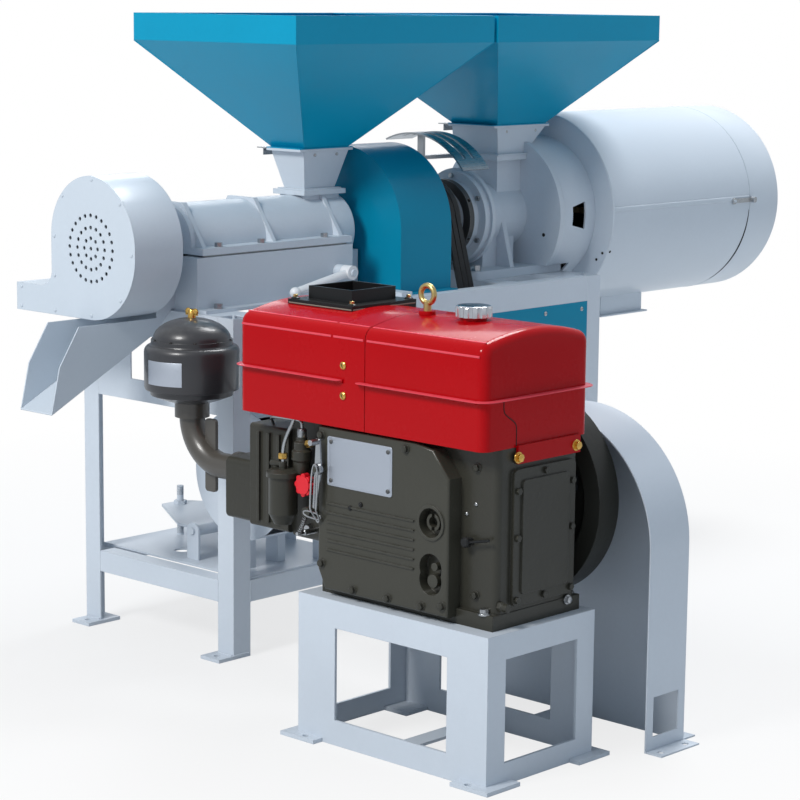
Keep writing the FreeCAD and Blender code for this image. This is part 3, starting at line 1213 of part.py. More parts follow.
def door_latch():
    """The bright swinging bar that reaches over the gap and holds the cap shut."""
    y1 = latch_face() - FREE_GAP
    y0 = y1 - 5
    x0, x1, z = LATCH_X0, LATCH_X1, LATCH_Z
    bar = box(x0, x1, y0, y1, z - 6, z + 6)
    eye = rod(9, V(x0, y0, z), V(x0, y1, z))
    knob = rod(8, V(x1 - 4, y0 - 9, z), V(x1 - 4, y1, z))
    return [fuse([bar, eye, knob]).cut(rod(LATCH_PIN_R + RUN_GAP, V(x0, y0 - 10, z), V(x0, y1 + 1, z)))]


def sieve_screen():
    """The perforated flour screen, as a cage of bands and bars round a thin sheet."""
    x0, x1 = DRUM_X0 + DRUM_FRONT, SIEVE_X1
    sheet = xtube(SIEVE_R, SIEVE_R - SIEVE_WALL, x0, x1)
    places = (x0, (x0 + x1 - SIEVE_BAND) / 2, x1 - SIEVE_BAND)
    bands = [xtube(SIEVE_R + 5, SIEVE_R - SIEVE_WALL, x, x + SIEVE_BAND) for x in places]
    slots = []
    slot = box(x0 + SIEVE_BAND + 12, (x0 + x1) / 2 - SIEVE_BAND, -14, 14, SHAFT_Z + SIEVE_R - 10,
               SHAFT_Z + SIEVE_R + 2)
    slots += turned_copies(slot, 12)
    far = slot.copy()
    far.translate(V((x1 - x0) / 2 + 4, 0, 0))
    slots += turned_copies(far, 12)
    return [cut(fuse([sheet] + bands), slots)]


def peeler_rotor():
    x_end = PEELER_BELT_X + pulley_width() / 2 + 10
    shaft = xcyl(PEELER_SHAFT_R, FAN_X0 + 12, x_end)
    core = xtube(ROLLER_R, PEELER_SHAFT_R, ROLLER_X0, ROLLER_X1)
    bar = box(ROLLER_X0, ROLLER_X1, -ROLLER_BAR / 2, ROLLER_BAR / 2, SHAFT_Z + ROLLER_R - 3,
              SHAFT_Z + ROLLER_R + ROLLER_BAR)
    roller = fuse([core] + turned_copies(bar, ROLLER_BAR_COUNT))
    sleeve_r = PEELER_SHAFT_R + SCREW_SLEEVE
    sleeve = xtube(sleeve_r, PEELER_SHAFT_R, ROLLER_X1, SCREW_X1)
    flight = screw_flight(ROLLER_X1 + 2, SCREW_X1, sleeve_r, SCREW_R, SCREW_PITCH, SCREW_THICK)
    screw = fuse([sleeve, flight])
    pulley = grooved_pulley(PEELER_PULLEY_R, PEELER_SHAFT_R, PEELER_BELT_X, 0, SHAFT_Z)
    return {"peeler_shaft": [shaft], "peeling_roller": [roller, screw], "peeler_pulley": [pulley]}


def mill_rotor():
    x0 = MILL_BELT_X - pulley_width() / 2 - 6
    shaft = xcyl(MILL_SHAFT_R, x0, SIEVE_X1 - 20)
    sleeve = xtube(MILL_SHAFT_R + 8, MILL_SHAFT_R, MILL_BODY_X0 + 10, MILL_FLANGE_X1 - 4)
    flight = screw_flight(MILL_BODY_X0 + 12, MILL_FLANGE_X1 - 6, MILL_SHAFT_R + 8, MILL_BORE_R - 3,
                          SCREW_PITCH, SCREW_THICK)
    cone = turned_x([(MILL_FLANGE_X1, MILL_SHAFT_R), (MILL_FLANGE_X1, CONE_SMALL_R),
                     (GRIND_X1, CONE_LARGE_R), (GRIND_X1, MILL_SHAFT_R)],
                    0, SHAFT_Z)
    groove = box(MILL_FLANGE_X1 - 1, GRIND_X1 + 1, -3, 3, SHAFT_Z + CONE_SMALL_R - 5,
                 SHAFT_Z + CONE_LARGE_R + 5)
    groove.rotate(V(MILL_FLANGE_X1, 0, SHAFT_Z), V(0, 0, 1), 8)
    cone = cut(cone, turned_copies(groove, 10))
    pulley = grooved_pulley(MILL_PULLEY_R, MILL_SHAFT_R, MILL_BELT_X, 0, SHAFT_Z)
    x_front = DRUM_X0 + 60
    x_back = SIEVE_X1 - 60
    bar = box(DRUM_X0 + 20, SIEVE_X1 - 25, -12, 12, SHAFT_Z + BRUSH_R - 16, SHAFT_Z + BRUSH_R)
    parts = turned_copies(bar, BRUSH_BARS)
    for x in (x_front, x_back):
        parts.append(xcyl(MILL_SHAFT_R + 14, x, x + 24))
        arm = box(x + 4, x + 20, -8, 8, SHAFT_Z + MILL_SHAFT_R + 6, SHAFT_Z + BRUSH_R - 8)
        parts += turned_copies(arm, BRUSH_BARS)
    brushes = fuse(parts).cut(xcyl(MILL_SHAFT_R, DRUM_X0, SIEVE_X1))
    return {"mill_shaft": [shaft, fuse([sleeve, flight])], "grinding_cone": [cone],
            "mill_pulley": [pulley], "sieve_brushes": [brushes]}


def countershaft():
    half = pulley_width() / 2
    x1 = RIGHT_POST_X + BLOCK_WIDTH / 2 + 8
    shaft = xcyl(COUNTER_SHAFT_R, ENGINE_BELT_X - half - 6, x1, COUNTER_Y, COUNTER_Z)
    pulleys = []
    for radius, x in ((COUNTER_IN_R, ENGINE_BELT_X), (PEELER_DRIVE_R, PEELER_BELT_X),
                      (MILL_DRIVE_R, MILL_BELT_X)):
        pulleys.append(grooved_pulley(radius, COUNTER_SHAFT_R, x, COUNTER_Y, COUNTER_Z))
    return {"countershaft": [shaft], "countershaft_pulleys": pulleys}


def crank():
    half = pulley_width() / 2
    stub = xcyl(CRANK_R, CASE_IN_X - 50, ENGINE_BELT_X + half + 8, CRANK_Y, CRANK_Z)
    x0, x1 = FLYWHEEL_X
    mid = (x0 + x1) / 2
    rim = xtube(FLYWHEEL_R, FLYWHEEL_R - FLYWHEEL_RIM, x0, x1, CRANK_Y, CRANK_Z)
    web = xtube(FLYWHEEL_R - FLYWHEEL_RIM + 2, CRANK_R, mid - FLYWHEEL_WEB / 2, mid + FLYWHEEL_WEB / 2,
                CRANK_Y, CRANK_Z)
    hub = xtube(FLYWHEEL_HUB_R, CRANK_R, x0 - 6, x1 + 4, CRANK_Y, CRANK_Z)
    hole = xcyl(32, x0, x1, CRANK_Y, CRANK_Z + (FLYWHEEL_R - FLYWHEEL_RIM + FLYWHEEL_HUB_R) / 2)
    wheel = cut(fuse([rim, web, hub]), turned_copies(hole, 5, CRANK_Y, CRANK_Z))
    pulley = grooved_pulley(ENGINE_PULLEY_R, CRANK_R, ENGINE_BELT_X, CRANK_Y, CRANK_Z)
    return {"crankshaft": [stub], "flywheel": [wheel], "engine_pulley": [pulley]}


def drive_belts():
    runs = ((ENGINE_BELT_X, CRANK_Y, CRANK_Z, ENGINE_PULLEY_R, COUNTER_Y, COUNTER_Z, COUNTER_IN_R),
            (PEELER_BELT_X, COUNTER_Y, COUNTER_Z, PEELER_DRIVE_R, 0, SHAFT_Z, PEELER_PULLEY_R),
            (MILL_BELT_X, COUNTER_Y, COUNTER_Z, MILL_DRIVE_R, 0, SHAFT_Z, MILL_PULLEY_R))
    belts = []
    for x_mid, *ends in runs:
        belts += [belt_loop(belt_x(x_mid, index), *ends) for index in range(BELT_COUNT)]
    return belts


def engine_stand():
    """The sheet stand with a window in each side, a top rim and four feet."""
    (x0, x1), (y0, y1) = STAND_X, STAND_Y
    t = STAND_SHEET
    shell = box(x0, x1, y0, y1, 0, STAND_TOP)
    room = box(x0 + t, x1 - t, y0 + t, y1 - t, -1, STAND_TOP - t)
    top_hole = box(x0 + STAND_LEG_X, x1 - STAND_LEG_X, y0 + STAND_LEG_Y, y1 - STAND_LEG_Y,
                   STAND_TOP - t - 1, STAND_TOP + 1)
    side_window = box(x0 - 1, x1 + 1, y0 + STAND_LEG_Y, y1 - STAND_LEG_Y, STAND_WINDOW_LOW, STAND_WINDOW_TOP)
    end_window = box(x0 + STAND_LEG_X, x1 - STAND_LEG_X, y0 - 1, y1 + 1, STAND_WINDOW_LOW - 8,
                     STAND_WINDOW_TOP + 6)
    body = cut(shell, [room, top_hole, side_window, end_window])
    feet = []
    for x, sx in ((x0, -1), (x1, 1)):
        for y, sy in ((y0, -1), (y1, 1)):
            xs = sorted((x + sx * STAND_FOOT, x - sx * STAND_FOOT_INSIDE))
            ys = sorted((y + sy * STAND_FOOT, y - sy * STAND_FOOT_INSIDE))
            foot = box(*xs, *ys, 0, STAND_FOOT_THICK)
            hole = zcyl(FOOT_HOLE_R, x + sx * STAND_FOOT / 2, y - sy * STAND_HOLE_INSIDE, -1,
                        STAND_FOOT_THICK + 1)
            feet.append(foot.cut(hole))
    brace_y = (y0 + y1) / 2
    brace = box(x0 + t / 2, x1 - t / 2, brace_y - 22, brace_y + 22, 20, 26)
    return [fuse([body, brace] + feet)]


def crankcase():
    """The engine crankcase with its base rails and the shaft opening."""
    y0, y1 = CRANKCASE_Y
    low = STAND_TOP + ENGINE_BASE
    body = box(CASE_OUT_X, CASE_IN_X, y0, y1, low, CRANKCASE_TOP)
    uprights = [e for e in body.Edges if is_along(e, V(0, 0, 1)) and e.BoundBox.YMax < y0 + 1]
    body = body.makeFillet(14, uprights)
    base = box(CASE_OUT_X - 12, CASE_IN_X + 10, y0 - 2, y1 + 6, STAND_TOP, low)
    sump = box(CASE_OUT_X + 50, CASE_IN_X - 50, y0 + 40, y1 - 30, STAND_TOP - 1, low - 8)
    cover_seat = box(CASE_OUT_X - 13, CASE_OUT_X, *GEAR_COVER_Y, GEAR_COVER_Z[0], low + 1)
    base = cut(base, [sump, cover_seat])
    boss = xcyl(62, CASE_IN_X - 2, CASE_IN_X + 22, CRANK_Y, CRANK_Z)
    ribs = []
    for z in (CRANK_Z - 70, CRANK_Z, CRANK_Z + 70):
        ribs.append(box(CASE_IN_X - 1, CASE_IN_X + 8, CRANK_Y + 90, y1 - 10, z, z + 8))
    bore = xcyl(CRANK_R + RUN_GAP, CASE_IN_X - 51, CASE_IN_X + 30, CRANK_Y, CRANK_Z)
    return [fuse([body, base, boss] + ribs).cut(bore)]


def gear_cover():
    """The ribbed timing cover with the starting bore and the filler recess."""
    x1 = CASE_OUT_X
    x0 = x1 - GEAR_COVER_THICK
    (y0, y1), (z0, z1) = GEAR_COVER_Y, GEAR_COVER_Z
    outline = [(y0, z0), (y1 - 20, z0), (y1, z0 + 40), (y1, z1), (y0 + GEAR_CORNER + 30, z1),
               (y0 + 42, z1 - 8), (y0, z1 - GEAR_CORNER)]
    body = prism_x(outline, x0, x1)
    front = [e for e in body.Edges if e.BoundBox.XMax < x0 + 1]
    body = body.makeFillet(5, front)
    start = xcyl(START_BORE_R, x0 - 1, x0 + 24, START_BORE_Y, START_BORE_Z)
    filler = xcyl(START_BORE_R, x0 - 1, x0 + 24, START_BORE_Y, FILLER_Z - 8)
    filler_top = xcyl(START_BORE_R, x0 - 1, x0 + 24, START_BORE_Y, FILLER_Z + 16)
    body = cut(body, [start, fuse([filler, filler_top])])
    dog = xtube(17, 11, x0 + 6, x0 + 26, START_BORE_Y, START_BORE_Z)
    dog = dog.cut(box(x0 + 5, x0 + 14, START_BORE_Y - 4, START_BORE_Y + 4, START_BORE_Z - 30,
                      START_BORE_Z + 30))
    plug = xcyl(13, x0 + 6, x0 + 26, START_BORE_Y, FILLER_Z - 10)
    dip = xcyl(8, x0 + 2, x0 + 26, START_BORE_Y - 8, FILLER_Z + 20)
    ribs = []
    for index in range(COVER_RIBS):
        z = COVER_RIB_LOW + index * COVER_RIB_PITCH
        ribs.append(box(x0 - COVER_RIB_HEIGHT, x0 + 2, y0 + 88, y1 - 26, z, z + 4))
    ring = xtube(START_BORE_R + 6, START_BORE_R, x0 - 3, x0 + 2, START_BORE_Y, START_BORE_Z)
    return [fuse([body, dog, plug, dip, ring] + ribs)]


def end_cover():
    (x0, x1), (z0, z1) = END_COVER_X, END_COVER_Z
    y1 = CRANKCASE_Y[0]
    plate = box(x0, x1, y1 - END_COVER_THICK + 4, y1, z0, z1)
    plate = plate.makeFillet(12, [e for e in plate.Edges if is_along(e, V(0, 1, 0))])
    panel = box(x0 + 22, x1 - 22, y1 - END_COVER_THICK, y1 - 1, z0 + 22, z1 - 22)
    panel = panel.makeFillet(8, [e for e in panel.Edges if is_along(e, V(0, 1, 0))])
    return [fuse([plate, panel])]


def cylinder_head():
    """The cylinder block, the head and the intake port casting at its end."""
    y0, y1 = CRANKCASE_Y[1], BLOCK_END_Y
    block = box(*BLOCK_X, y0, y1, BLOCK_LOW, CRANKCASE_TOP)
    block = block.makeFillet(16, [e for e in block.Edges if is_along(e, V(0, 1, 0))])
    head = box(*HEAD_X, BLOCK_END_Y, HEAD_END_Y, *HEAD_Z)
    head = head.makeFillet(8, [e for e in head.Edges if is_along(e, V(0, 1, 0))])
    fins = []
    for index in range(3):
        y = BLOCK_END_Y + 22 + index * 30
        fins.append(box(HEAD_X[0] - HEAD_FIN, HEAD_X[1] + HEAD_FIN, y, y + 8, HEAD_Z[0] + 14, HEAD_Z[1] - 14))
    port = box(*PORT_X, HEAD_END_Y - 1, PORT_END_Y, *PORT_Z)
    port = port.makeFillet(14, [e for e in port.Edges if is_along(e, V(0, 1, 0))])
    seat_r = INTAKE_R + INTAKE_CLAMP
    seat = rod(seat_r, V(FILTER_X, PORT_END_Y - 1, INTAKE_Z), V(FILTER_X, PORT_END_Y + 8, INTAKE_Z))
    hole = rod(INTAKE_R - INTAKE_WALL, V(FILTER_X, PORT_END_Y - 60, INTAKE_Z),
               V(FILTER_X, PORT_END_Y + 10, INTAKE_Z))
    return [fuse([block, head, port, seat] + fins).cut(hole)]


def tank_body(y0, y1, end_y):
    """A pressed tank: upright sides, a crowned top and one end with rounded edges."""
    x0, x1 = TANK_X
    low = CRANKCASE_TOP
    corners = [V(x0, y0, low), V(x0, y0, TANK_SHOULDER), V(x1, y0, TANK_SHOULDER), V(x1, y0, low)]
    crown = V((x0 + x1) / 2, y0, TANK_CROWN)
    edges = [Part.makeLine(corners[0], corners[1]), Part.Arc(corners[1], crown, corners[2]).toShape(),
             Part.makeLine(corners[2], corners[3]), Part.makeLine(corners[3], corners[0])]
    body = Part.Face(Part.Wire(edges)).extrude(V(0, y1 - y0, 0))
    shoulders = [e for e in body.Edges if is_along(e, V(0, 1, 0)) and e.BoundBox.ZMin > low + 1]
    body = body.makeFillet(TANK_SHOULDER_R, shoulders)
    rim = [e for e in body.Edges if abs(e.BoundBox.YMax - end_y) < 1 and e.BoundBox.YLength < 1
           and e.BoundBox.ZMax > low + 1]
    return body.makeFillet(TANK_CORNER, rim)


def bead(y0, y1, at_end):
    """The rolled bead along both sides of a tank and round its outer end."""
    x0, x1 = TANK_X
    parts = [rod(BEAD_R, V(x, y0, BEAD_Z), V(x, y1, BEAD_Z)) for x in (x0, x1)]
    end_y = y1 if at_end > 0 else y0
    parts.append(rod(BEAD_R, V(x0, end_y, BEAD_Z), V(x1, end_y, BEAD_Z)))
    parts += [Part.makeSphere(BEAD_R, V(x, end_y, BEAD_Z)) for x in (x0, x1)]
    return parts


def water_tank():
    y0, y1 = WATER_TANK_Y
    body = tank_body(y0, y1, y1)
    gap = 58.0
    parts = bead(y0 + gap, y1, 1)
    corner = box(TANK_X[0] - 9, TANK_X[1] + 9, y1 - TANK_CORNER, y1 + 9, BEAD_Z - 9, BEAD_Z + 9)
    side = fuse(parts).cut(corner)
    hole = box(WATER_FRAME_X[0] + 12, WATER_FRAME_X[1] - 12, WATER_FRAME_Y[0] + 12, WATER_FRAME_Y[1] - 12,
               CRANKCASE_TOP + 20, TANK_CROWN + 1)
    return [fuse([body, side]).cut(hole)]


def fuel_tank():
    y0, y1 = FUEL_TANK_Y
    body = tank_body(y0 + 6, y1, y0 + 6)
    side = fuse(bead(y0 + 6 + TANK_CORNER, y1 - 12, 1)[:2])
    apron = box(END_COVER_X[0] + 12, END_COVER_X[1] + 15, y0, y0 + 6, CRANKCASE_TOP - 32, CRANKCASE_TOP + 4)
    neck_top = TANK_CROWN + FILLER_RISE
    filler = zcyl(CAP_R - 9, CAP_X, CAP_Y, TANK_CROWN - 20, neck_top)
    return [fuse([body, side, apron, filler])]


def water_frame(tank):
    """The square filler frame and its flange, seated on the crowned tank."""
    (x0, x1), (y0, y1) = WATER_FRAME_X, WATER_FRAME_Y
    f = WATER_FRAME_FLANGE
    flange = box(x0 - f, x1 + f, y0 - f, y1 + f, TANK_CROWN - 14, TANK_CROWN + 5)
    collar = box(x0, x1, y0, y1, TANK_CROWN - 14, WATER_FRAME_TOP)
    w = WATER_FRAME_WALL
    way = box(x0 + w, x1 - w, y0 + w, y1 - w, TANK_CROWN - 40, WATER_FRAME_TOP + 1)
    body = fuse([flange, collar]).cut(way)
    return [body.cut(tank)]


def lifting_eye(tank):
    ring_z = EYE_TOP - EYE_R
    ring = Part.makeTorus((EYE_R + EYE_HOLE_R) / 2, (EYE_R - EYE_HOLE_R) / 2, V(EYE_X, EYE_Y, ring_z),
                          V(1, 0, 0))
    stem = zcyl(8, EYE_X, EYE_Y, TANK_CROWN - 12, ring_z - EYE_HOLE_R - 2)
    collar = zcyl(17, EYE_X, EYE_Y, TANK_CROWN - 12, TANK_CROWN + 7)
    return [fuse([ring, stem, collar]).cut(tank)]


def fuel_cap():
    z0 = TANK_CROWN + FILLER_RISE + FREE_GAP
    cap = zcyl(CAP_R, CAP_X, CAP_Y, z0, z0 + CAP_HEIGHT)
    cap = cap.makeFillet(5, [e for e in cap.Edges if e.BoundBox.ZMin > z0 + CAP_HEIGHT - 1])
    flutes = []
    for dx, dy in ring_points(12, CAP_R + 3):
        flutes.append(zcyl(6, CAP_X + dx, CAP_Y + dy, z0 - 1, z0 + CAP_HEIGHT + 1))
    return [cut(cap, flutes)]


def arc_steps(r, z, reach, rise, steps):
    """Points of a quarter ellipse from its widest place up to its top."""
    turns = [math.pi / 2 * i / steps for i in range(steps + 1)]
    return [(r + reach * math.cos(a), z + rise * math.sin(a)) for a in turns]


def air_filter():
    """The oil-bath bowl with its rounded shoulder, bottom rim and stepped floor."""
    r, low, top = FILTER_R, FILTER_LOW, FILTER_TOP
    floor = [(0, low - FILTER_FLOOR_DROP), (FILTER_FLOOR_R, low - FILTER_FLOOR_DROP), (r - 34, low - 8),
             (r - 14, low), (r - 12, low + 11), (r - 2, low + 13), (r, low + 18)]
    shoulder = arc_steps(r - 14, top - 18, 14, 16, 5)
    return [turned_z(floor + shoulder + [(LID_R, top), (0, top)], FILTER_X, FILTER_Y)]


def air_filter_lid():
    """The domed lid on its ring, with the stud and wing nut that hold it."""
    z0 = FILTER_TOP + LID_RING
    dome = arc_steps(0, z0, LID_R - 4, DOME_TOP - z0, 8)[:-1]
    lid = turned_z([(0, FILTER_TOP), (LID_R, FILTER_TOP), (LID_R, z0)] + dome + [(0, DOME_TOP)], FILTER_X,
                   FILTER_Y)
    stud = zcyl(5, FILTER_X, FILTER_Y, DOME_TOP, DOME_TOP + 18)
    wings = box(FILTER_X - 3, FILTER_X + 3, FILTER_Y - 17, FILTER_Y + 17, DOME_TOP + 5, DOME_TOP + 16)
    return [lid, fuse([stud, wings])]


def intake_pipe():
    """The bent pipe from the air cleaner down and along to the intake port."""
    z_top = FILTER_LOW - FILTER_FLOOR_DROP
    top = V(FILTER_X, FILTER_Y, z_top)
    corner = V(FILTER_X, FILTER_Y, INTAKE_Z)
    bend = INTAKE_BEND
    down = V(FILTER_X, FILTER_Y, INTAKE_Z + bend)
    along = V(FILTER_X, FILTER_Y - bend, INTAKE_Z)
    share = 1 - math.sqrt(0.5)
    mid = corner + V(0, -bend * share, bend * share)
    end = V(FILTER_X, PORT_END_Y + 8, INTAKE_Z)
    path = Part.Wire([Part.makeLine(top, down), Part.Arc(down, mid, along).toShape(),
                      Part.makeLine(along, end)])
    solids = []
    for radius in (INTAKE_R, INTAKE_R - INTAKE_WALL):
        circle = Part.Wire(Part.makeCircle(radius, top, V(0, 0, 1)))
        solids.append(path.makePipeShell([circle], True, False))
    pipe = solids[0].cut(solids[1])
    z_low = z_top - INTAKE_NECK
    collar = zcyl(INTAKE_NECK_R, FILTER_X, FILTER_Y, z_low, z_top)
    collar = collar.cut(zcyl(INTAKE_R - 1, FILTER_X, FILTER_Y, z_low - 1, z_top + 1))
    seat_y = PORT_END_Y + 8
    clamp = rod(INTAKE_R + INTAKE_CLAMP, V(FILTER_X, seat_y, INTAKE_Z), V(FILTER_X, seat_y + 10, INTAKE_Z))
    clamp = clamp.cut(rod(INTAKE_R - 1, V(FILTER_X, seat_y - 1, INTAKE_Z),
                          V(FILTER_X, seat_y + 11, INTAKE_Z)))
    return [fuse([pipe, collar, clamp])]


def fuel_filter():
    """The fuel filter bowl, its bright lid and the lug that holds it to the head."""
    z0, z1 = FUEL_FILTER_Z
    r = FUEL_FILTER_R
    x = HEAD_X[0] - 6 - r
    bowl = turned_z([(0, z0), (r * 0.55, z0), (r - 3, z0 + 22), (r - 3, z1 - 16), (r + 2, z1 - 16),
                     (r + 2, z1 - 6), (r - 8, z1), (0, z1)],
                    x, FUEL_FILTER_Y)
    lug = box(x, BLOCK_X[0], FUEL_FILTER_Y - 6, FUEL_FILTER_Y + 14, z1 - 16, z1 - 6)
    union = zcyl(8, x, FUEL_FILTER_Y, z1 - 1, z1 + 14)
    banjo = rod(6, V(x, FUEL_FILTER_Y, z1 + 8), V(x, FUEL_FILTER_Y + 34, z1 + 8))
    return [fuse([bowl, lug, union, banjo])]


def knob_stem_x():
    return BLOCK_X[0] - KNOB_STEM


def control_knob():
    """The lobed red knob on its spindle."""
    x1 = knob_stem_x()
    x0 = x1 - KNOB_THICK
    parts = [xcyl(KNOB_R - 5, x0, x1, KNOB_Y, KNOB_Z)]
    for dy, dz in ring_points(8, KNOB_R - 6):
        parts.append(xcyl(6, x0 + 2, x1, KNOB_Y + dy, KNOB_Z + dz))
    spindle = xcyl(KNOB_PIN_R, x1 - 1, BLOCK_X[0] - KNOB_BOSS + KNOB_BOSS_DEPTH - 1, KNOB_Y, KNOB_Z)
    return [fuse(parts + [spindle])]


def knob_socket():
    """The bushed boss on the block in which the knob's spindle turns."""
    x0 = BLOCK_X[0] - KNOB_BOSS
    boss = xcyl(13, x0, BLOCK_X[0], KNOB_Y, KNOB_Z)
    return boss.cut(xcyl(KNOB_PIN_R + RUN_GAP, x0 - 1, x0 + KNOB_BOSS_DEPTH, KNOB_Y, KNOB_Z))


def speed_lever():
    """The bent speed lever on the timing cover."""
    x1 = CASE_OUT_X - GEAR_COVER_THICK - LEVER_SHOULDER - FREE_GAP
    x0 = x1 - LEVER_THICK
    arm = prism_x([(LEVER_Y - 9, LEVER_Z), (LEVER_Y - 5, LEVER_Z + 62), (LEVER_Y + 5, LEVER_Z + 62),
                   (LEVER_Y + 9, LEVER_Z),
                   (LEVER_Y + 14, LEVER_Z - 80), (LEVER_Y + 4, LEVER_Z - 84)], x0, x1)
    hub = xcyl(12, x0 - 4, x1, LEVER_Y, LEVER_Z)
    grip = xcyl(6, x0 - 22, x0 + 1, LEVER_Y, LEVER_Z + 56)
    body = fuse([arm, hub, grip])
    return [body.cut(xcyl(LEVER_PIN_R + RUN_GAP, x0 - 10, x1 + 1, LEVER_Y, LEVER_Z))]


def lever_pin():
    """The shouldered pin on the timing cover that carries the speed lever."""
    x1 = CASE_OUT_X - GEAR_COVER_THICK
    return fuse([xcyl(9, x1 - LEVER_SHOULDER, x1, LEVER_Y, LEVER_Z),
                 xcyl(LEVER_PIN_R, x1 - LEVER_SHOULDER - 14, x1, LEVER_Y, LEVER_Z)])


def flywheel_guard():
    """The standing guard round the engine pulley: a bent band and one closed side."""
    x0, x1 = BELT_GUARD_X
    y, z, r, t = BELT_GUARD_Y, BELT_GUARD_Z, BELT_GUARD_R, BELT_GUARD_SHEET
    upper = xtube(r, r - t, x0, x1, y, z).cut(box(x0 - 1, x1 + 1, y - r - 1, y + r + 1, z - r - 1, z))
    front = box(x0, x1, y - r, y - r + t, 0, z)
    window = box(x0 + 22, x1 - 22, y - r - 1, y - r + t + 1, *BELT_GUARD_WINDOW_Z)
    disc = xcyl(r, x1 - t, x1, y, z).cut(box(x1 - t - 1, x1 + 1, y - r - 1, y + r + 1, z - r - 1, z))
    side = box(x1 - t, x1, y - r, y + r, 0, z)
    floor_flange = box(x0, x1, y - r - 40, y - r + 1, 0, t)
    side_flange = box(x1 - 1, x1 + 40, y - r, y + r, 0, t)
    tie = box(STAND_X[1], x1 - t + 1, y - GUARD_TIE_WIDTH / 2, y + GUARD_TIE_WIDTH / 2, GUARD_TIE_Z,
              GUARD_TIE_Z + 6)
    holes = [zcyl(FOOT_HOLE_R, (x0 + x1) / 2 + side_x, y - r - 22, -1, t + 1) for side_x in (-40, 40)]
    belt_way = box(x0 - 1, x1 - t, y + r * 0.7, y + r + 1, z - 1, CRANK_Z + ENGINE_PULLEY_R + 12)
    body = fuse([upper, front, disc, side, floor_flange, side_flange, tie])
    return [cut(body, [window, belt_way] + holes)]


def low_guard():
    """The rounded guard round the countershaft's driven pulley, open to the belts."""
    x0, x1 = LOW_GUARD_X
    r, t = LOW_GUARD_R, LOW_GUARD_SHEET
    outer = xcyl(r, x0, x1, COUNTER_Y, COUNTER_Z)
    inner = xcyl(r - t, x0 + t, x1 - t, COUNTER_Y, COUNTER_Z)
    front_open = box(x0 + t, x1 - t, COUNTER_Y - r - 1, COUNTER_Y - 30, COUNTER_Z - 130, COUNTER_Z + 140)
    shaft_way = xcyl(COUNTER_SHAFT_R + 10, x1 - t - 1, x1 + 1, COUNTER_Y, COUNTER_Z)
    body = cut(outer, [inner, front_open, shaft_way])
    z_shelf = LOW_RAIL_TOP + SHELF_THICK
    feet = []
    for x in (x0 + 6, x1 - 30):
        strip = box(x, x + 24, COUNTER_Y - 20, COUNTER_Y + 20, z_shelf, COUNTER_Z - r + 6)
        feet.append(strip.cut(inner))
    return [fuse([body] + feet)]


def pressure_lever():
    """The white tube lever that sets the discharge pressure."""
    y1 = -CASE_HALF_Y - PRESS_STAND_OFF + PRESS_HUB_R - FREE_GAP
    y_mid = y1 - PRESS_HUB_R + 3
    y0 = y_mid - PRESS_HUB_R + 3
    pivot = V(PRESS_PIVOT_X, y_mid, PRESS_PIVOT_Z)
    end = V(PRESS_END_X, y_mid, PRESS_END_Z)
    tube = rod(PRESS_TUBE_R, pivot, end)
    tip = Part.makeSphere(PRESS_TIP_R, end)
    hub = rod(PRESS_HUB_R, V(PRESS_PIVOT_X, y0, PRESS_PIVOT_Z), V(PRESS_PIVOT_X, y1, PRESS_PIVOT_Z))
    bore = rod(PRESS_PIN_R + RUN_GAP, V(PRESS_PIVOT_X, y0 - 1, PRESS_PIVOT_Z),
               V(PRESS_PIVOT_X, y1 + 1, PRESS_PIVOT_Z))
    return [fuse([tube, tip, hub]).cut(bore)]


def pressure_pin():
    """The shouldered pin on the peeler casing that carries the lever."""
    y0 = -CASE_HALF_Y
    y1 = y0 - PRESS_STAND_OFF + PRESS_HUB_R
    shoulder = rod(PRESS_HUB_R, V(PRESS_PIVOT_X, y1, PRESS_PIVOT_Z), V(PRESS_PIVOT_X, y0, PRESS_PIVOT_Z))
    pin = rod(PRESS_PIN_R, V(PRESS_PIVOT_X, y1 - 2 * PRESS_HUB_R, PRESS_PIVOT_Z),
              V(PRESS_PIVOT_X, y0, PRESS_PIVOT_Z))
    return fuse([shoulder, pin])


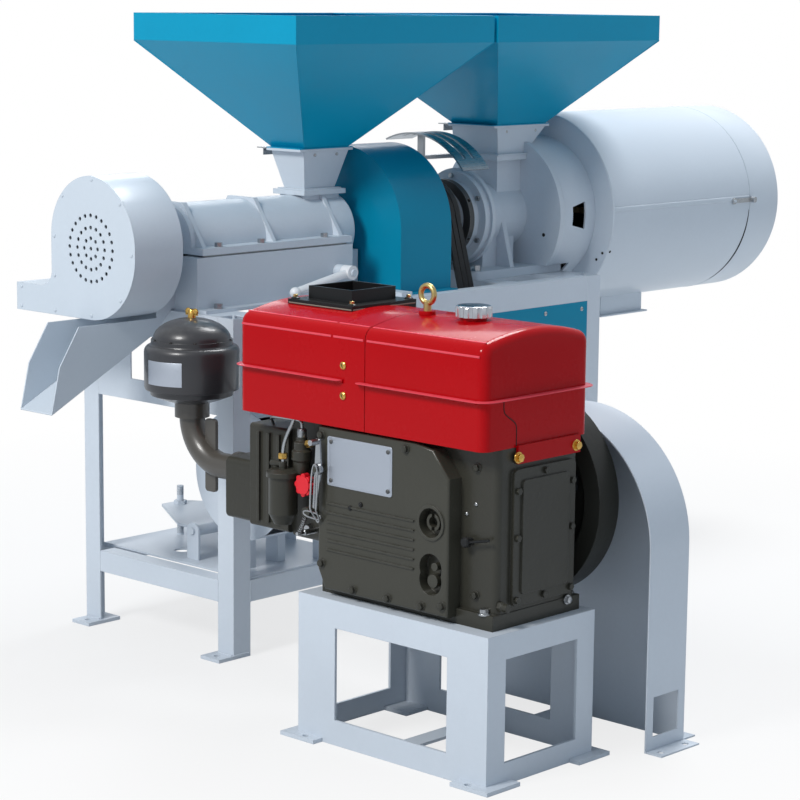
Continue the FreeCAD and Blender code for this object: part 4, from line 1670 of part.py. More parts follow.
def fasteners():
    """The larger bolt heads, each standing on the face that it clamps."""
    heads = []
    foot_top = FRAME_TOP + CASE_FOOT_THICK
    for x in (CASE_X0 + 50, CASE_X1 - 50):
        for side in (-1, 1):
            heads.append(hex_head(V(x, side * (CASE_HALF_Y + 16), foot_top), V(0, 0, 1), *FOOT_BOLT))
    mill_top = FRAME_TOP + MILL_FOOT_THICK
    for x in (MILL_FOOT_X0 + 30, FRAME_HALF_X - 30):
        for side in (-1, 1):
            heads.append(hex_head(V(x, side * (MILL_FOOT_HALF_Y - 24), mill_top), V(0, 0, 1), *MILL_BOLT))
    (x0, x1), (z0, z1) = END_COVER_X, END_COVER_Z
    y = CRANKCASE_Y[0] - END_COVER_THICK + 4
    mid_x, mid_z = (x0 + x1) / 2, (z0 + z1) / 2
    spots = [(x0 + 11, z0 + 12), (mid_x, z0 + 11), (x1 - 11, z0 + 12), (x0 + 11, mid_z), (x1 - 11, mid_z),
             (x0 + 11, z1 - 42), (mid_x, z1 - 11), (x1 - 11, z1 - 42)]
    heads += [hex_head(V(x, y, z), V(0, -1, 0), *COVER_BOLT) for x, z in spots]
    flange_x = MILL_BODY_X0 - MILL_CAP_STEPS[0][1]
    ring_r = (MILL_CAP_STEPS[0][2] + MILL_CAP_STEPS[1][2]) / 2
    for dy, dz in ring_points(CAP_BOLT_COUNT, ring_r, math.pi / 6):
        heads.append(hex_head(V(flange_x, dy, SHAFT_Z + dz), V(-1, 0, 0), *CAP_BOLT))
    low = CASE_TOP + SCREEN_FLANGE + BARREL_FLANGE_THICK
    for x in (BARREL_X0 + 60, (BARREL_X0 + CASE_X1) / 2 - 46, CASE_X1 - 80):
        for side in (-1, 1):
            heads.append(hex_head(V(x, side * (BARREL_FLANGE_HALF_Y - 14), low), V(0, 0, 1), *BARREL_BOLT))
    return heads


def nodes():
    water = water_tank()
    fuel = fuel_tank()
    head = cylinder_head()
    head = [fuse([head[0], knob_socket()])]
    cover = [fuse([gear_cover()[0], lever_pin()])]
    casing = [fuse([peeler_casing()[0], pressure_pin()])]
    made = {
        "frame_legs": frame_legs(),
        "frame_rails": frame_rails(),
        "lower_shelf": lower_shelf(),
        "end_panel": end_panel(),
        "front_panel": front_panel(),
        "tension_plate": tension_plate(),
        "shaft_bearings": shaft_bearings(),
        "peeler_casing": casing,
        "peeler_barrel": peeler_barrel(),
        "peeler_screen": peeler_screen(),
        "peeler_hopper": hopper(PEELER_HOPPER_X, PEELER_HOPPER_HALF_Y, PEELER_MOUTH_X,
                                PEELER_MOUTH_HALF_Y, PEELER_MOUTH_Z),
        "mill_hopper": hopper(MILL_HOPPER_X, MILL_HOPPER_HALF_Y, MILL_MOUTH_X, MILL_MOUTH_HALF_Y,
                              MILL_MOUTH_Z),
        "hopper_necks": hopper_necks(),
        "peeler_gate": gate(PEELER_MOUTH_X, PEELER_MOUTH_HALF_Y, PEELER_MOUTH_Z),
        "mill_gate": gate(MILL_MOUTH_X, MILL_MOUTH_HALF_Y, MILL_MOUTH_Z),
        "fan_volute": fan_volute(),
        "fan_cover": fan_cover(),
        "fan_impeller": impeller(),
        "discharge_chute": chute(),
        "pulley_guard": pulley_guard(),
        "mill_body": mill_body(),
        "mill_bearing_cap": mill_cap(),
        "adjusting_ring": adjusting_ring(),
        "mill_belt_cover": belt_cover(),
        "vent_ring": vent_ring(),
        "sieve_drum": sieve_drum(),
        "drum_door": drum_door(),
        "door_latch": door_latch(),
        "sieve_screen": sieve_screen(),
        "drive_belts": drive_belts(),
        "engine_stand": engine_stand(),
        "crankcase": crankcase() + end_cover(),
        "gear_cover": cover,
        "cylinder_head": head,
        "water_tank": water,
        "fuel_tank": fuel,
        "water_frame": water_frame(water[0]),
        "lifting_eye": lifting_eye(fuel[0]),
        "fuel_cap": fuel_cap(),
        "air_filter": air_filter() + air_filter_lid(),
        "intake_pipe": intake_pipe(),
        "fuel_filter": fuel_filter(),
        "control_knob": control_knob(),
        "speed_lever": speed_lever(),
        "flywheel_guard": flywheel_guard(),
        "countershaft_guard": low_guard(),
        "pressure_lever": pressure_lever(),
        "fasteners": fasteners(),
    }
    for group in (peeler_rotor(), mill_rotor(), countershaft(), crank()):
        made.update(group)
    return made


def main():
    os.makedirs("parts", exist_ok=True)
    for name, solids in nodes().items():
        shape = solids[0] if len(solids) == 1 else Part.makeCompound(solids)
        shape.exportStep("parts/" + name + ".step")


main()
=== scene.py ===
"""Dressing for a corn peeling machine: finishes, welds, bolts, pipes, trim and a studio.

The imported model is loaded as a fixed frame. Every piece here sits on it, in metres,
with +X from the fan to the sieve drum, +Z up and the engine on the -Y side.
"""

import math

import bmesh
import bpy
import numpy as np
from bpy.props import FloatProperty, FloatVectorProperty, IntProperty, PointerProperty
from mathutils import Matrix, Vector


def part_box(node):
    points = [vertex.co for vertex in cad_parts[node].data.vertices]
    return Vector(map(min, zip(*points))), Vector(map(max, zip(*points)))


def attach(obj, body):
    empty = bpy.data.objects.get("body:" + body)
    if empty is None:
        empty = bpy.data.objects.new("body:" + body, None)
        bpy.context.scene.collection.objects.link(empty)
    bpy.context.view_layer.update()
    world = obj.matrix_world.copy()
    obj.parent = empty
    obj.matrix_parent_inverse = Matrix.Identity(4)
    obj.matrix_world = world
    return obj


bl_info = {
    "name": "Corn peeling machine dressing",
    "version": (1, 0, 0),
    "blender": (4, 5, 0),
    "location": "3D View > Sidebar > Machine",
    "description": "Finishes, welds, bolts, pipes and studio for a corn peeling machine",
    "category": "Object",
}

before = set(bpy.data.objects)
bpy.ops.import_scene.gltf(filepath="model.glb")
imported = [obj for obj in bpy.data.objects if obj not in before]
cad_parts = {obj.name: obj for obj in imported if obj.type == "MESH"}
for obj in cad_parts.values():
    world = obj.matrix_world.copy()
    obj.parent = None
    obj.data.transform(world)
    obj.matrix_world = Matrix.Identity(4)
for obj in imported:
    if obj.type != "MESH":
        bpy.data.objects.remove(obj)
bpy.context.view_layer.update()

MM = 0.001
TAU = 2 * math.pi
X, Y, Z = np.eye(3)

# Height of the shafts of the peeler and the mill
SHAFT_Z = 0.930

# Frame of angle iron: half its length and depth, a leg's width with its weld gap, each
# rail's bottom and top, and the thickness of the foot plates
FRAME_HALF_X = 0.650
FRAME_HALF_Y = 0.260
LEG_WIDTH = 0.052
RAILS = ((0.716, 0.780), (0.127, 0.177))
FOOT_PLATE = 0.008

# Hopper mouths: left and right end, half the depth, and the height of the neck's screws
HOPPER_MOUTHS = {"peeler_hopper": (-0.232, -0.082, 0.056, 1.114),
                 "mill_hopper": (0.441, 0.631, 0.078, 1.148)}

# Sieve drum: its outer radius, and the place along X where its end cap begins
DRUM_RADIUS = 0.257
CAP_X = 1.312

# The engine block's side, which the timing cover is bolted to
ENGINE_SIDE = -0.888

# How far the solid beads stand out from the sides of the tanks, and the apron from their end
TANK_BEAD = 0.004
TANK_APRON = 0.006

# Camera: place in metres, turn in degrees, lens for a 36 mm wide sensor
CAMERA_PLACE = (-4.305, -4.202, 1.5)
CAMERA_YAW = -46.8
CAMERA_PITCH = 9.5
CAMERA_ROLL = 0.585
CAMERA_LENS = 109.7

# The finishes by name, filled by the first operator
FINISHES = {}


def low(node):
    """The corner of a node's box with the smallest x, y and z."""
    return np.array(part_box(node)[0])


def high(node):
    """The corner of a node's box with the largest x, y and z."""
    return np.array(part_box(node)[1])


def mm(*values):
    """A point, or rows of numbers, from millimetres to metres."""
    return np.array(values, float) * MM


# The timing cover's face, behind the speed lever's shoulder and running gap
COVER_FACE = high("speed_lever")[0] + 10.3 * MM


def srgb(red, green, blue):
    """A colour given in 0-255 screen values, as the linear values that shaders use."""
    share = np.array((red, green, blue)) / 255
    line = np.where(share > 0.04045, ((share + 0.055) / 1.055) ** 2.4, share / 12.92)
    return tuple(float(v) for v in line)


# Geometry of the new pieces

def unit(vectors):
    """The same directions with a length of one."""
    vectors = np.asarray(vectors, float)
    return vectors / np.linalg.norm(vectors, axis=-1, keepdims=True)


def across(axis):
    """Two unit directions square to an axis and to each other."""
    axis = unit(axis)
    side = unit(np.cross(axis, Z if abs(axis[2]) < 0.9 else X))
    return side, np.cross(axis, side)


def turned(profile, starts, axis, turns, flats=None):
    """Surfaces of revolution from (radius, height) rows.

    At row s and angle a a point is start + height(s) * axis + radius(s) * (cos a * side
    + sin a * other). Where flats is given, it holds for each row how far its circle is
    drawn in to a hexagon: the radius is then times 1 - flat + flat * cos 30 / cos(a mod
    60 - 30).
    """
    profile = np.asarray(profile, float)
    side, other = across(axis)
    angle = np.linspace(0, TAU, turns, endpoint=False)
    ring = np.cos(angle)[:, None] * side + np.sin(angle)[:, None] * other
    radius = np.repeat(profile[:, :1], turns, axis=1)
    if flats is not None:
        hexagon = math.cos(TAU / 12) / np.cos(angle % (TAU / 6) - TAU / 12)
        share = np.asarray(flats, float)[:, None]
        radius = radius * (1 - share + share * hexagon)
    shape = profile[:, None, 1:2] * unit(axis) + radius[..., None] * ring
    return np.asarray(starts, float).reshape(-1, 1, 1, 3) + shape


def carried(section, path, up, closed=False):
    """A flat section carried along a path.

    At step i a point is path(i) + a * side + b * over for the section's (a, b), where
    side is the path's direction cross up, and over is side cross the direction.
    """
    path = np.asarray(path, float)
    if closed:
        run = np.roll(path, -1, axis=-2) - np.roll(path, 1, axis=-2)
    else:
        run = np.gradient(path, axis=-2)
    run = unit(run)
    side = unit(np.cross(run, up))
    over = np.cross(side, run)
    section = np.asarray(section, float)
    grid = section[:, 0, None] * side[..., None, :] + section[:, 1, None] * over[..., None, :]
    return path[..., None, :] + grid


def capped(grid):
    """A grid of rings with each open end drawn in to that ring's middle point."""
    first = np.broadcast_to(grid[..., :1, :, :].mean(-2, keepdims=True), grid[..., :1, :, :].shape)
    last = np.broadcast_to(grid[..., -1:, :, :].mean(-2, keepdims=True), grid[..., -1:, :, :].shape)
    return np.concatenate([first, grid, last], axis=-3)


def circle(radius, points):
    """A round section: radius * (cos a, sin a)."""
    angle = np.linspace(0, TAU, points, endpoint=False)
    return radius * np.stack([np.cos(angle), np.sin(angle)], -1)


def rod(radius, points, path, up):
    """A round bar along a path, closed at both ends."""
    return capped(carried(circle(radius, points), path, up))


def looped(section, path, up):
    """A section carried round a closed path, with its first ring again as the last."""
    grid = carried(section, path, up, closed=True)
    return np.concatenate([grid, grid[:1]])


def strip(width, height):
    """A low domed section on a flat foot, for beads, seams and straps."""
    return np.array([(-0.5 * width, 0), (-0.42 * width, 0.7 * height), (-0.2 * width, height),
                     (0.2 * width, height), (0.42 * width, 0.7 * height), (0.5 * width, 0)])


def line(start, end, steps):
    """Points spread evenly from start to end."""
    share = np.linspace(0, 1, steps)[:, None]
    return np.asarray(start, float) * (1 - share) + np.asarray(end, float) * share


def helix(start, end, turns, steps, radius, side, other):
    """A coil round a line: the point on the line + radius * (cos w * side + sin w * other)."""
    share = np.linspace(0, 1, steps)[:, None]
    wind = turns * TAU * share
    return start + share * (end - start) + radius * (np.cos(wind) * side + np.sin(wind) * other)


def on_side(x, places):
    """Places on a face square to X, from (y, z) in millimetres."""
    return np.array([(x, y * MM, z * MM) for y, z in places])


def eased(points, rounds=4):
    """A path whose corners are cut at a quarter of each side, time after time."""
    points = np.asarray(points, float)
    for _ in range(rounds):
        near = 0.75 * points[:-1] + 0.25 * points[1:]
        far = 0.25 * points[:-1] + 0.75 * points[1:]
        inner = np.stack([near, far], 1).reshape(-1, 3)
        points = np.concatenate([points[:1], inner, points[-1:]])
    return points


def arc_path(centre, radius, start, end, steps, axis_a=Y, axis_b=Z):
    """Points on a circle: centre + radius * (cos t * axis_a + sin t * axis_b), t in degrees."""
    angle = np.radians(np.linspace(start, end, steps))[:, None]
    return np.asarray(centre) + radius * (np.cos(angle) * axis_a + np.sin(angle) * axis_b)


def round_shaft(x, radius, degrees):
    """A place at a radius and an angle round the mill shaft, the angle from +Y towards +Z."""
    return arc_path((x, 0, SHAFT_Z), radius, degrees, degrees, 1)[0]


def rounded_outline(width, height, radius, per_corner=6):
    """The outline of a rectangle with round corners, anticlockwise, as (a, b) rows."""
    angle = np.linspace(0, math.pi / 2, per_corner)
    arc = np.stack([np.cos(angle), np.sin(angle)], -1) * radius
    turn = np.array([(0, -1), (1, 0)])
    corners = []
    for index, (sx, sy) in enumerate(((1, 1), (-1, 1), (-1, -1), (1, -1))):
        middle = np.array((sx * (width / 2 - radius), sy * (height / 2 - radius)))
        corners.append(middle + arc @ np.linalg.matrix_power(turn, index).T)
    return np.concatenate(corners)


def pad(centre, across_a, across_b, size, radius, layers):
    """A plate with round corners, built from (inset, height) layers.

    Each layer is the outline drawn in by its inset and lifted by its height along
    across_a cross across_b; the last one closes on its middle.
    """
    across_a, across_b = unit(across_a), unit(across_b)
    out = np.cross(across_a, across_b)
    rings = []
    for inset, height in layers:
        flat = rounded_outline(size[0] - 2 * inset, size[1] - 2 * inset, max(radius - inset, 0.0002))
        rings.append(centre + flat[:, :1] * across_a + flat[:, 1:] * across_b + height * out)
    return capped(np.stack(rings))


def tufts(roots, lean, length, width):
    """Many tapered tufts: each a three-sided spike from a root along its lean."""
    roots = np.asarray(roots, float)
    lean = unit(lean)
    side = np.cross(lean, X)
    angle = np.linspace(0, TAU, 3, endpoint=False)
    ring = (np.cos(angle)[:, None] * X + np.sin(angle)[:, None] * side[..., None, :]) * width / 2
    base = roots[:, None, :] + ring
    tip = roots[:, None, :] + 0.45 * ring + length * lean[..., None, :]
    return np.stack([base, tip], 1)


# From points to objects

def grid_faces(rows, columns):
    """Four-sided faces joining each grid point to its next row and column, closed round."""
    i, j = (index.ravel() for index in np.meshgrid(np.arange(rows - 1), np.arange(columns), indexing="ij"))
    beside = (j + 1) % columns
    return np.stack([i * columns + j, i * columns + beside,
                     (i + 1) * columns + beside, (i + 1) * columns + j], -1)


def grid_mesh(grids):
    """Points and faces of one grid, or of many alike grids, as flat arrays."""
    grids = np.asarray(grids, float)
    grids = grids.reshape((-1,) + grids.shape[-3:])
    count, rows, columns, _ = grids.shape
    faces = grid_faces(rows, columns) + (np.arange(count) * rows * columns)[:, None, None]
    return grids.reshape(-1, 3), faces.reshape(-1, 4)


def make_piece(name, grids, finish, body="machine"):
    """Puts grids into one mesh object, closes its seams, and rides it on a body."""
    points, faces, offset = [], [], 0
    for grid in grids if isinstance(grids, list) else [grids]:
        grid_points, grid_quads = grid_mesh(grid)
        points.append(grid_points)
        faces.append(grid_quads + offset)
        offset += len(grid_points)
    mesh = bpy.data.meshes.new(name)
    mesh.from_pydata(np.concatenate(points), [], np.concatenate(faces))
    closer = bmesh.new()
    closer.from_mesh(mesh)
    bmesh.ops.remove_doubles(closer, verts=closer.verts, dist=2e-6)
    bmesh.ops.recalc_face_normals(closer, faces=closer.faces)
    closer.to_mesh(mesh)
    closer.free()
    mesh.polygons.foreach_set("use_smooth", np.ones(len(mesh.polygons), bool))
    mesh.set_sharp_from_angle(angle=math.radians(38))
    mesh.materials.append(FINISHES[finish])
    piece = bpy.data.objects.new(name, mesh)
    bpy.context.scene.collection.objects.link(piece)
    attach(piece, body)


def turn_piece(name, finish, starts, axis, turns, rows, flats=None):
    """A piece turned from (radius, height) rows in millimetres."""
    make_piece(name, turned(mm(*rows), starts, axis, turns, flats), finish)


def bolt_heads(places, axis, size, washer=True):
    """Hexagon bolt heads with a chamfered crown on round washers, all facing one way."""
    half, tall = size / 2, size * 0.62
    foot = size * 0.11 if washer else 0.0
    rows = [(0.0, tall), (half * 0.80, tall), (half * 0.99, tall * 0.90), (half, tall * 0.80), (half, foot)]
    flats = [0, 0, 0.35, 1, 1]
    if washer:
        rows += [(half * 1.32, foot), (half * 1.38, foot * 0.6), (half * 1.38, -foot)]
        flats += [0, 0, 0]
    rows.append((0.0, rows[-1][1]))
    flats.append(0)
    rows = np.array(rows)
    rows[:, 0] *= 1.12
    return turned(rows, places, axis, turns=24, flats=flats)


def screw_heads(places, axis, radius, dome):
    """Round screw heads: a shallow dome radius * sqrt(1 - t squared) over a short skirt."""
    t = np.linspace(0, 1, 6)
    crown = np.stack([radius * t, dome * (0.45 + 0.55 * np.sqrt(1 - t ** 2))], -1)
    rows = np.concatenate([crown, [(radius, 0), (radius * 0.98, -dome * 0.6), (0, -dome * 0.6)]])
    return turned(rows, places, axis, turns=20)


def screw_slots(places, axis, run, radius, dome):
    """The painted shade of the slot across each round head, as a thin dark raised bar along run."""
    out = unit(axis)
    run = unit(run)
    places = np.asarray(places, float).reshape(-1, 1, 3)
    path = places + np.array((-0.62, -0.3, 0.3, 0.62))[:, None] * radius * run
    path = path + out * np.array((0.80, 0.99, 0.99, 0.80))[:, None] * dome
    return rod(radius * 0.11, 6, path, out)


def weld(start, end, radius, ripple=3.2 * MM):
    """A rippled bead: the radius along it is times 0.86 + 0.14 * |cos| of the run."""
    start, end = np.asarray(start, float), np.asarray(end, float)
    length = np.linalg.norm(end - start)
    steps = max(int(length / (ripple * 0.34)), 8)
    path = line(start, end, steps)
    s = np.linspace(0, length, steps)
    swell = 0.86 + 0.14 * np.abs(np.cos(math.pi * s / ripple)) + 0.05 * np.sin(s * 61 + start.sum() * 90)
    axis = unit(end - start)
    helper = Z if abs(axis[2]) < 0.9 else X
    grid = carried(circle(1.0, 8), path, helper) - path[:, None]
    return capped(path[:, None] + grid * (radius * swell)[:, None, None])


# Shader node groups and finishes

def feed(tree, node, inputs):
    """Joins each named input of a node to another node's output, or sets its value."""
    for name, value in inputs.items():
        if isinstance(value, bpy.types.NodeSocket):
            tree.links.new(value, node.inputs[name])
        else:
            node.inputs[name].default_value = value


def place(tree, kind, inputs=None, **settings):
    """Adds one shader node, sets its options and joins or sets its inputs."""
    made = tree.nodes.new(kind)
    for option, value in settings.items():
        setattr(made, option, value)
    feed(tree, made, inputs or {})
    return made


def start_group(name, inputs, outputs):
    """A new shader node group with named sockets; gives its tree and input sockets.

    An input's default tells its kind: one number is a value, three are a vector and four
    a colour.
    """
    group = bpy.data.node_groups.new(name, "ShaderNodeTree")
    kinds = {1: "Float", 3: "Vector", 4: "Color"}
    for label, value in inputs.items():
        kind = "NodeSocket" + kinds[np.size(value)]
        socket = group.interface.new_socket(name=label, in_out="INPUT", socket_type=kind)
        socket.default_value = value
    for label, kind in outputs.items():
        group.interface.new_socket(name=label, in_out="OUTPUT", socket_type="NodeSocket" + kind)
    entry = group.nodes.new("NodeGroupInput")
    return group, entry.outputs


def finish_group(group, **results):
    """Joins results to a group's outputs of the same names."""
    feed(group, group.nodes.new("NodeGroupOutput"), results)
    return group


def use_group(tree, group, inputs):
    """Places a group in a tree with its own values; gives its outputs."""
    made = tree.nodes.new("ShaderNodeGroup")
    made.node_tree = group
    feed(tree, made, inputs)
    return made.outputs


def object_point(tree):
    """The place on a piece, in metres in the machine's frame."""
    return place(tree, "ShaderNodeTexCoord").outputs["Object"]


def noise(tree, point, scale, detail=3.0, roughness=0.5):
    """Smooth noise over a point, as one value."""
    made = place(tree, "ShaderNodeTexNoise", {"Vector": point, "Scale": scale, "Detail": detail,
                                              "Roughness": roughness})
    return made.outputs["Fac"]


def spread(tree, value, from_min, from_max, to_min=0.0, to_max=1.0):
    """Maps a value from one range to another and clamps it."""
    made = place(tree, "ShaderNodeMapRange", {"Value": value, "From Min": from_min, "From Max": from_max,
                                              "To Min": to_min, "To Max": to_max})
    return made.outputs["Result"]


def calc(tree, operation, a, b=0.0):
    """The result of a Math node for two values or sockets."""
    return place(tree, "ShaderNodeMath", {0: a, 1: b}, operation=operation).outputs[0]


def blend_colour(tree, share, a, b):
    """Colour a, and colour b in its place as the share grows to 1."""
    return place(tree, "ShaderNodeMix", {0: share, 6: a, 7: b}, data_type="RGBA").outputs[2]


def edge_group():
    """Rounded edges for light to catch, and a broken mask along them for wear.

    The normal is averaged over a small radius; where it leaves the face's own normal
    there is an edge, and noise breaks that mask up.
    """
    group, given = start_group("edge_wear", {"Width": 0.0015, "Wear": 0.3, "Break Scale": 60.0},
                               {"Mask": "Float", "Normal": "Vector"})
    soft = place(group, "ShaderNodeBevel", {"Radius": given["Width"]}, samples=4)
    flat = place(group, "ShaderNodeNewGeometry")
    turn = place(group, "ShaderNodeVectorMath", {0: soft.outputs["Normal"], 1: flat.outputs["Normal"]},
                 operation="DOT_PRODUCT")
    edge = spread(group, turn.outputs["Value"], 0.995, 0.86)
    chips = noise(group, object_point(group), given["Break Scale"], 4.0, 0.65)
    chips = calc(group, "ADD", chips, calc(group, "MULTIPLY", given["Wear"], 0.5))
    broken = spread(group, chips, 0.56, 0.68)
    mask = calc(group, "MULTIPLY", calc(group, "MULTIPLY", edge, broken), given["Wear"])
    return finish_group(group, Mask=mask, Normal=soft.outputs["Normal"])


def tone_group():
    """Slow changes of tone over a painted or cast surface, and dust on what faces up."""
    group, given = start_group("uneven_tone", {"Colour": (0.5, 0.5, 0.5, 1),
                                               "Dust Colour": (0.5, 0.47, 0.42, 1),
                                               "Variation": 0.06, "Dust": 0.05, "Scale": 5.0},
                               {"Colour": "Color", "Tone": "Float"})
    point = object_point(group)
    slow = noise(group, point, given["Scale"], 3.0)
    speck = noise(group, point, calc(group, "MULTIPLY", given["Scale"], 23.0), 2.0)
    tone = calc(group, "ADD", calc(group, "MULTIPLY", slow, 0.75), calc(group, "MULTIPLY", speck, 0.25))
    amount = calc(group, "MULTIPLY", given["Variation"], 4.0)
    swing = calc(group, "MULTIPLY", calc(group, "SUBTRACT", tone, 0.5), amount)
    shade = place(group, "ShaderNodeHueSaturation", {"Value": calc(group, "ADD", swing, 1.0),
                                                     "Color": given["Colour"]})
    normal = place(group, "ShaderNodeNewGeometry").outputs["Normal"]
    facing = place(group, "ShaderNodeSeparateXYZ", {"Vector": normal}).outputs["Z"]
    settled = calc(group, "MULTIPLY", spread(group, facing, 0.35, 1.0), spread(group, tone, 0.35, 0.62))
    dusty = blend_colour(group, calc(group, "MULTIPLY", settled, given["Dust"]), shade.outputs["Color"],
                         given["Dust Colour"])
    return finish_group(group, Colour=dusty, Tone=tone)


def grain_group():
    """The relief of a cast or sprayed surface: fine noise over soft dimples."""
    group, given = start_group("surface_grain", {"Scale": 300.0, "Pits": 0.3}, {"Height": "Float"})
    point = object_point(group)
    fine = noise(group, point, given["Scale"], 3.0, 0.6)
    pitch = calc(group, "MULTIPLY", given["Scale"], 0.35)
    cells = place(group, "ShaderNodeTexVoronoi", {"Vector": point, "Scale": pitch})
    pits = calc(group, "MULTIPLY", spread(group, cells.outputs["Distance"], 0.0, 0.5), given["Pits"])
    return finish_group(group, Height=calc(group, "ADD", fine, pits))


def streak_group():
    """Fine drawn or turned lines: noise stretched by a scale that differs along each axis."""
    group, given = start_group("drawn_lines", {"Stretch": (20.0, 900.0, 900.0), "Low": 0.25, "High": 0.4},
                               {"Roughness": "Float", "Height": "Float"})
    drawn = place(group, "ShaderNodeVectorMath", {0: object_point(group), 1: given["Stretch"]},
                  operation="MULTIPLY")
    lines = noise(group, drawn.outputs["Vector"], 1.0, 3.0, 0.6)
    rough = spread(group, lines, 0.3, 0.7, given["Low"], given["High"])
    return finish_group(group, Roughness=rough, Height=lines)


def blank_finish(name):
    """A new material; gives it, its tree and its main shader."""
    material = bpy.data.materials.new(name)
    material.use_nodes = True
    tree = material.node_tree
    return material, tree, tree.nodes["Principled BSDF"]


def relief(tree, shader, height, depth, normal=None):
    """Feeds a height, and a rounded normal if there is one, to the shader's Normal."""
    inputs = {"Height": height, "Distance": depth, "Strength": 1.0}
    if normal is not None:
        inputs["Normal"] = normal
    bump = place(tree, "ShaderNodeBump", inputs)
    tree.links.new(bump.outputs["Normal"], shader.inputs["Normal"])


def opaque(colour):
    """A colour with full alpha."""
    return (*colour, 1.0)


def toned(tree, groups, colour, variation, dust, scale, dust_colour=(0.5, 0.47, 0.42)):
    """A colour with slow changes of tone and dust on what faces up."""
    return use_group(tree, groups["tone"], {"Colour": opaque(colour), "Dust Colour": opaque(dust_colour),
                                            "Variation": variation, "Dust": dust, "Scale": scale})


def painted(name, groups, colour, roughness, coat, variation, dust, wear, grain=260.0, depth=0.00006,
            edge=0.0016, sheen=0.15):
    """Sprayed paint on sheet or castings, a little thin along its edges."""
    material, tree, shader = blank_finish(name)
    tone = toned(tree, groups, colour, variation, dust, 4.0, srgb(168, 164, 155))
    edges = use_group(tree, groups["edge"], {"Width": edge, "Wear": wear})
    bare = opaque(srgb(120, 120, 118))
    feed(tree, shader, {
        "Base Color": blend_colour(tree, edges["Mask"], tone["Colour"], bare),
        "Roughness": spread(tree, tone["Tone"], 0.35, 0.65, roughness * 0.85, roughness * 1.2),
        "Coat Weight": coat,
        "Coat Roughness": 0.10,
        "Coat IOR": 1.38,
        "Specular IOR Level": sheen,
    })
    surface = use_group(tree, groups["grain"], {"Scale": grain, "Pits": 0.15})
    relief(tree, shader, surface["Height"], depth, edges["Normal"])
    return material


def cast(name, groups, colour, roughness, metallic=0.0, grain=170.0, depth=0.00035, variation=0.09,
         dust=0.10, wear=0.25, coat=0.0, bare=srgb(110, 108, 104)):
    """Rough cast metal under a thin coat of paint."""
    material, tree, shader = blank_finish(name)
    tone = toned(tree, groups, colour, variation, dust, 7.0, srgb(122, 116, 104))
    edges = use_group(tree, groups["edge"], {"Width": 0.0028, "Wear": wear})
    feed(tree, shader, {
        "Base Color": blend_colour(tree, edges["Mask"], tone["Colour"], opaque(bare)),
        "Roughness": spread(tree, tone["Tone"], 0.3, 0.7, roughness * 0.8, roughness * 1.25),
        "Metallic": metallic,
        "Coat Weight": coat,
        "Coat Roughness": 0.22,
        "Specular IOR Level": 0.25,
    })
    surface = use_group(tree, groups["grain"], {"Scale": grain, "Pits": 0.6})
    relief(tree, shader, surface["Height"], depth, edges["Normal"])
    return material


def bright(name, groups, colour, rough_low=0.22, rough_high=0.38, stretch=(30, 700, 700), variation=0.05):
    """Machined or plated metal with drawn lines."""
    material, tree, shader = blank_finish(name)
    tone = toned(tree, groups, colour, variation, 0.0, 9.0)
    lines = use_group(tree, groups["streak"], {"Stretch": stretch, "Low": rough_low, "High": rough_high})
    edges = use_group(tree, groups["edge"], {"Width": 0.0008, "Wear": 0.0})
    feed(tree, shader, {"Base Color": tone["Colour"], "Roughness": lines["Roughness"], "Metallic": 1.0})
    relief(tree, shader, lines["Height"], 0.00002, edges["Normal"])
    return material


def plastic(name, groups, colour, roughness):
    """Moulded plastic with a fine even skin."""
    material, tree, shader = blank_finish(name)
    tone = toned(tree, groups, colour, 0.03, 0.04, 11.0)
    surface = use_group(tree, groups["grain"], {"Scale": 500.0, "Pits": 0.1})
    edges = use_group(tree, groups["edge"], {"Width": 0.0015, "Wear": 0.0})
    rough = spread(tree, tone["Tone"], 0.3, 0.7, roughness * 0.85, roughness * 1.2)
    feed(tree, shader, {"Base Color": tone["Colour"], "Roughness": rough})
    relief(tree, shader, surface["Height"], 0.00004, edges["Normal"])
    return material


def belting(name, groups, colour):
    """Rubber belts: a woven cover of two crossed wave patterns, grey with use."""
    material, tree, shader = blank_finish(name)
    point = object_point(tree)
    warp = place(tree, "ShaderNodeTexWave", {"Vector": point, "Scale": 190.0}, bands_direction="X")
    weft = place(tree, "ShaderNodeTexWave", {"Vector": point, "Scale": 140.0}, bands_direction="DIAGONAL")
    weave = calc(tree, "MULTIPLY", warp.outputs["Fac"], weft.outputs["Fac"])
    tone = toned(tree, groups, colour, 0.12, 0.2, 8.0)
    worn = blend_colour(tree, calc(tree, "MULTIPLY", weave, 0.25), tone["Colour"], opaque(srgb(92, 90, 86)))
    feed(tree, shader, {"Base Color": worn, "Roughness": spread(tree, tone["Tone"], 0.3, 0.7, 0.55, 0.8)})
    relief(tree, shader, weave, 0.0002)
    return material


def bristle(name, groups, colour):
    """Bundled fibres: streaks across the shaft over a warm straw colour."""
    material, tree, shader = blank_finish(name)
    lines = use_group(tree, groups["streak"], {"Stretch": (900, 60, 60), "Low": 0.6, "High": 0.85})
    dark = opaque(0.45 * part for part in colour)
    mixed = blend_colour(tree, spread(tree, lines["Height"], 0.35, 0.65), dark, opaque(colour))
    feed(tree, shader, {"Base Color": mixed, "Roughness": lines["Roughness"]})
    relief(tree, shader, lines["Height"], 0.0006)
    return material


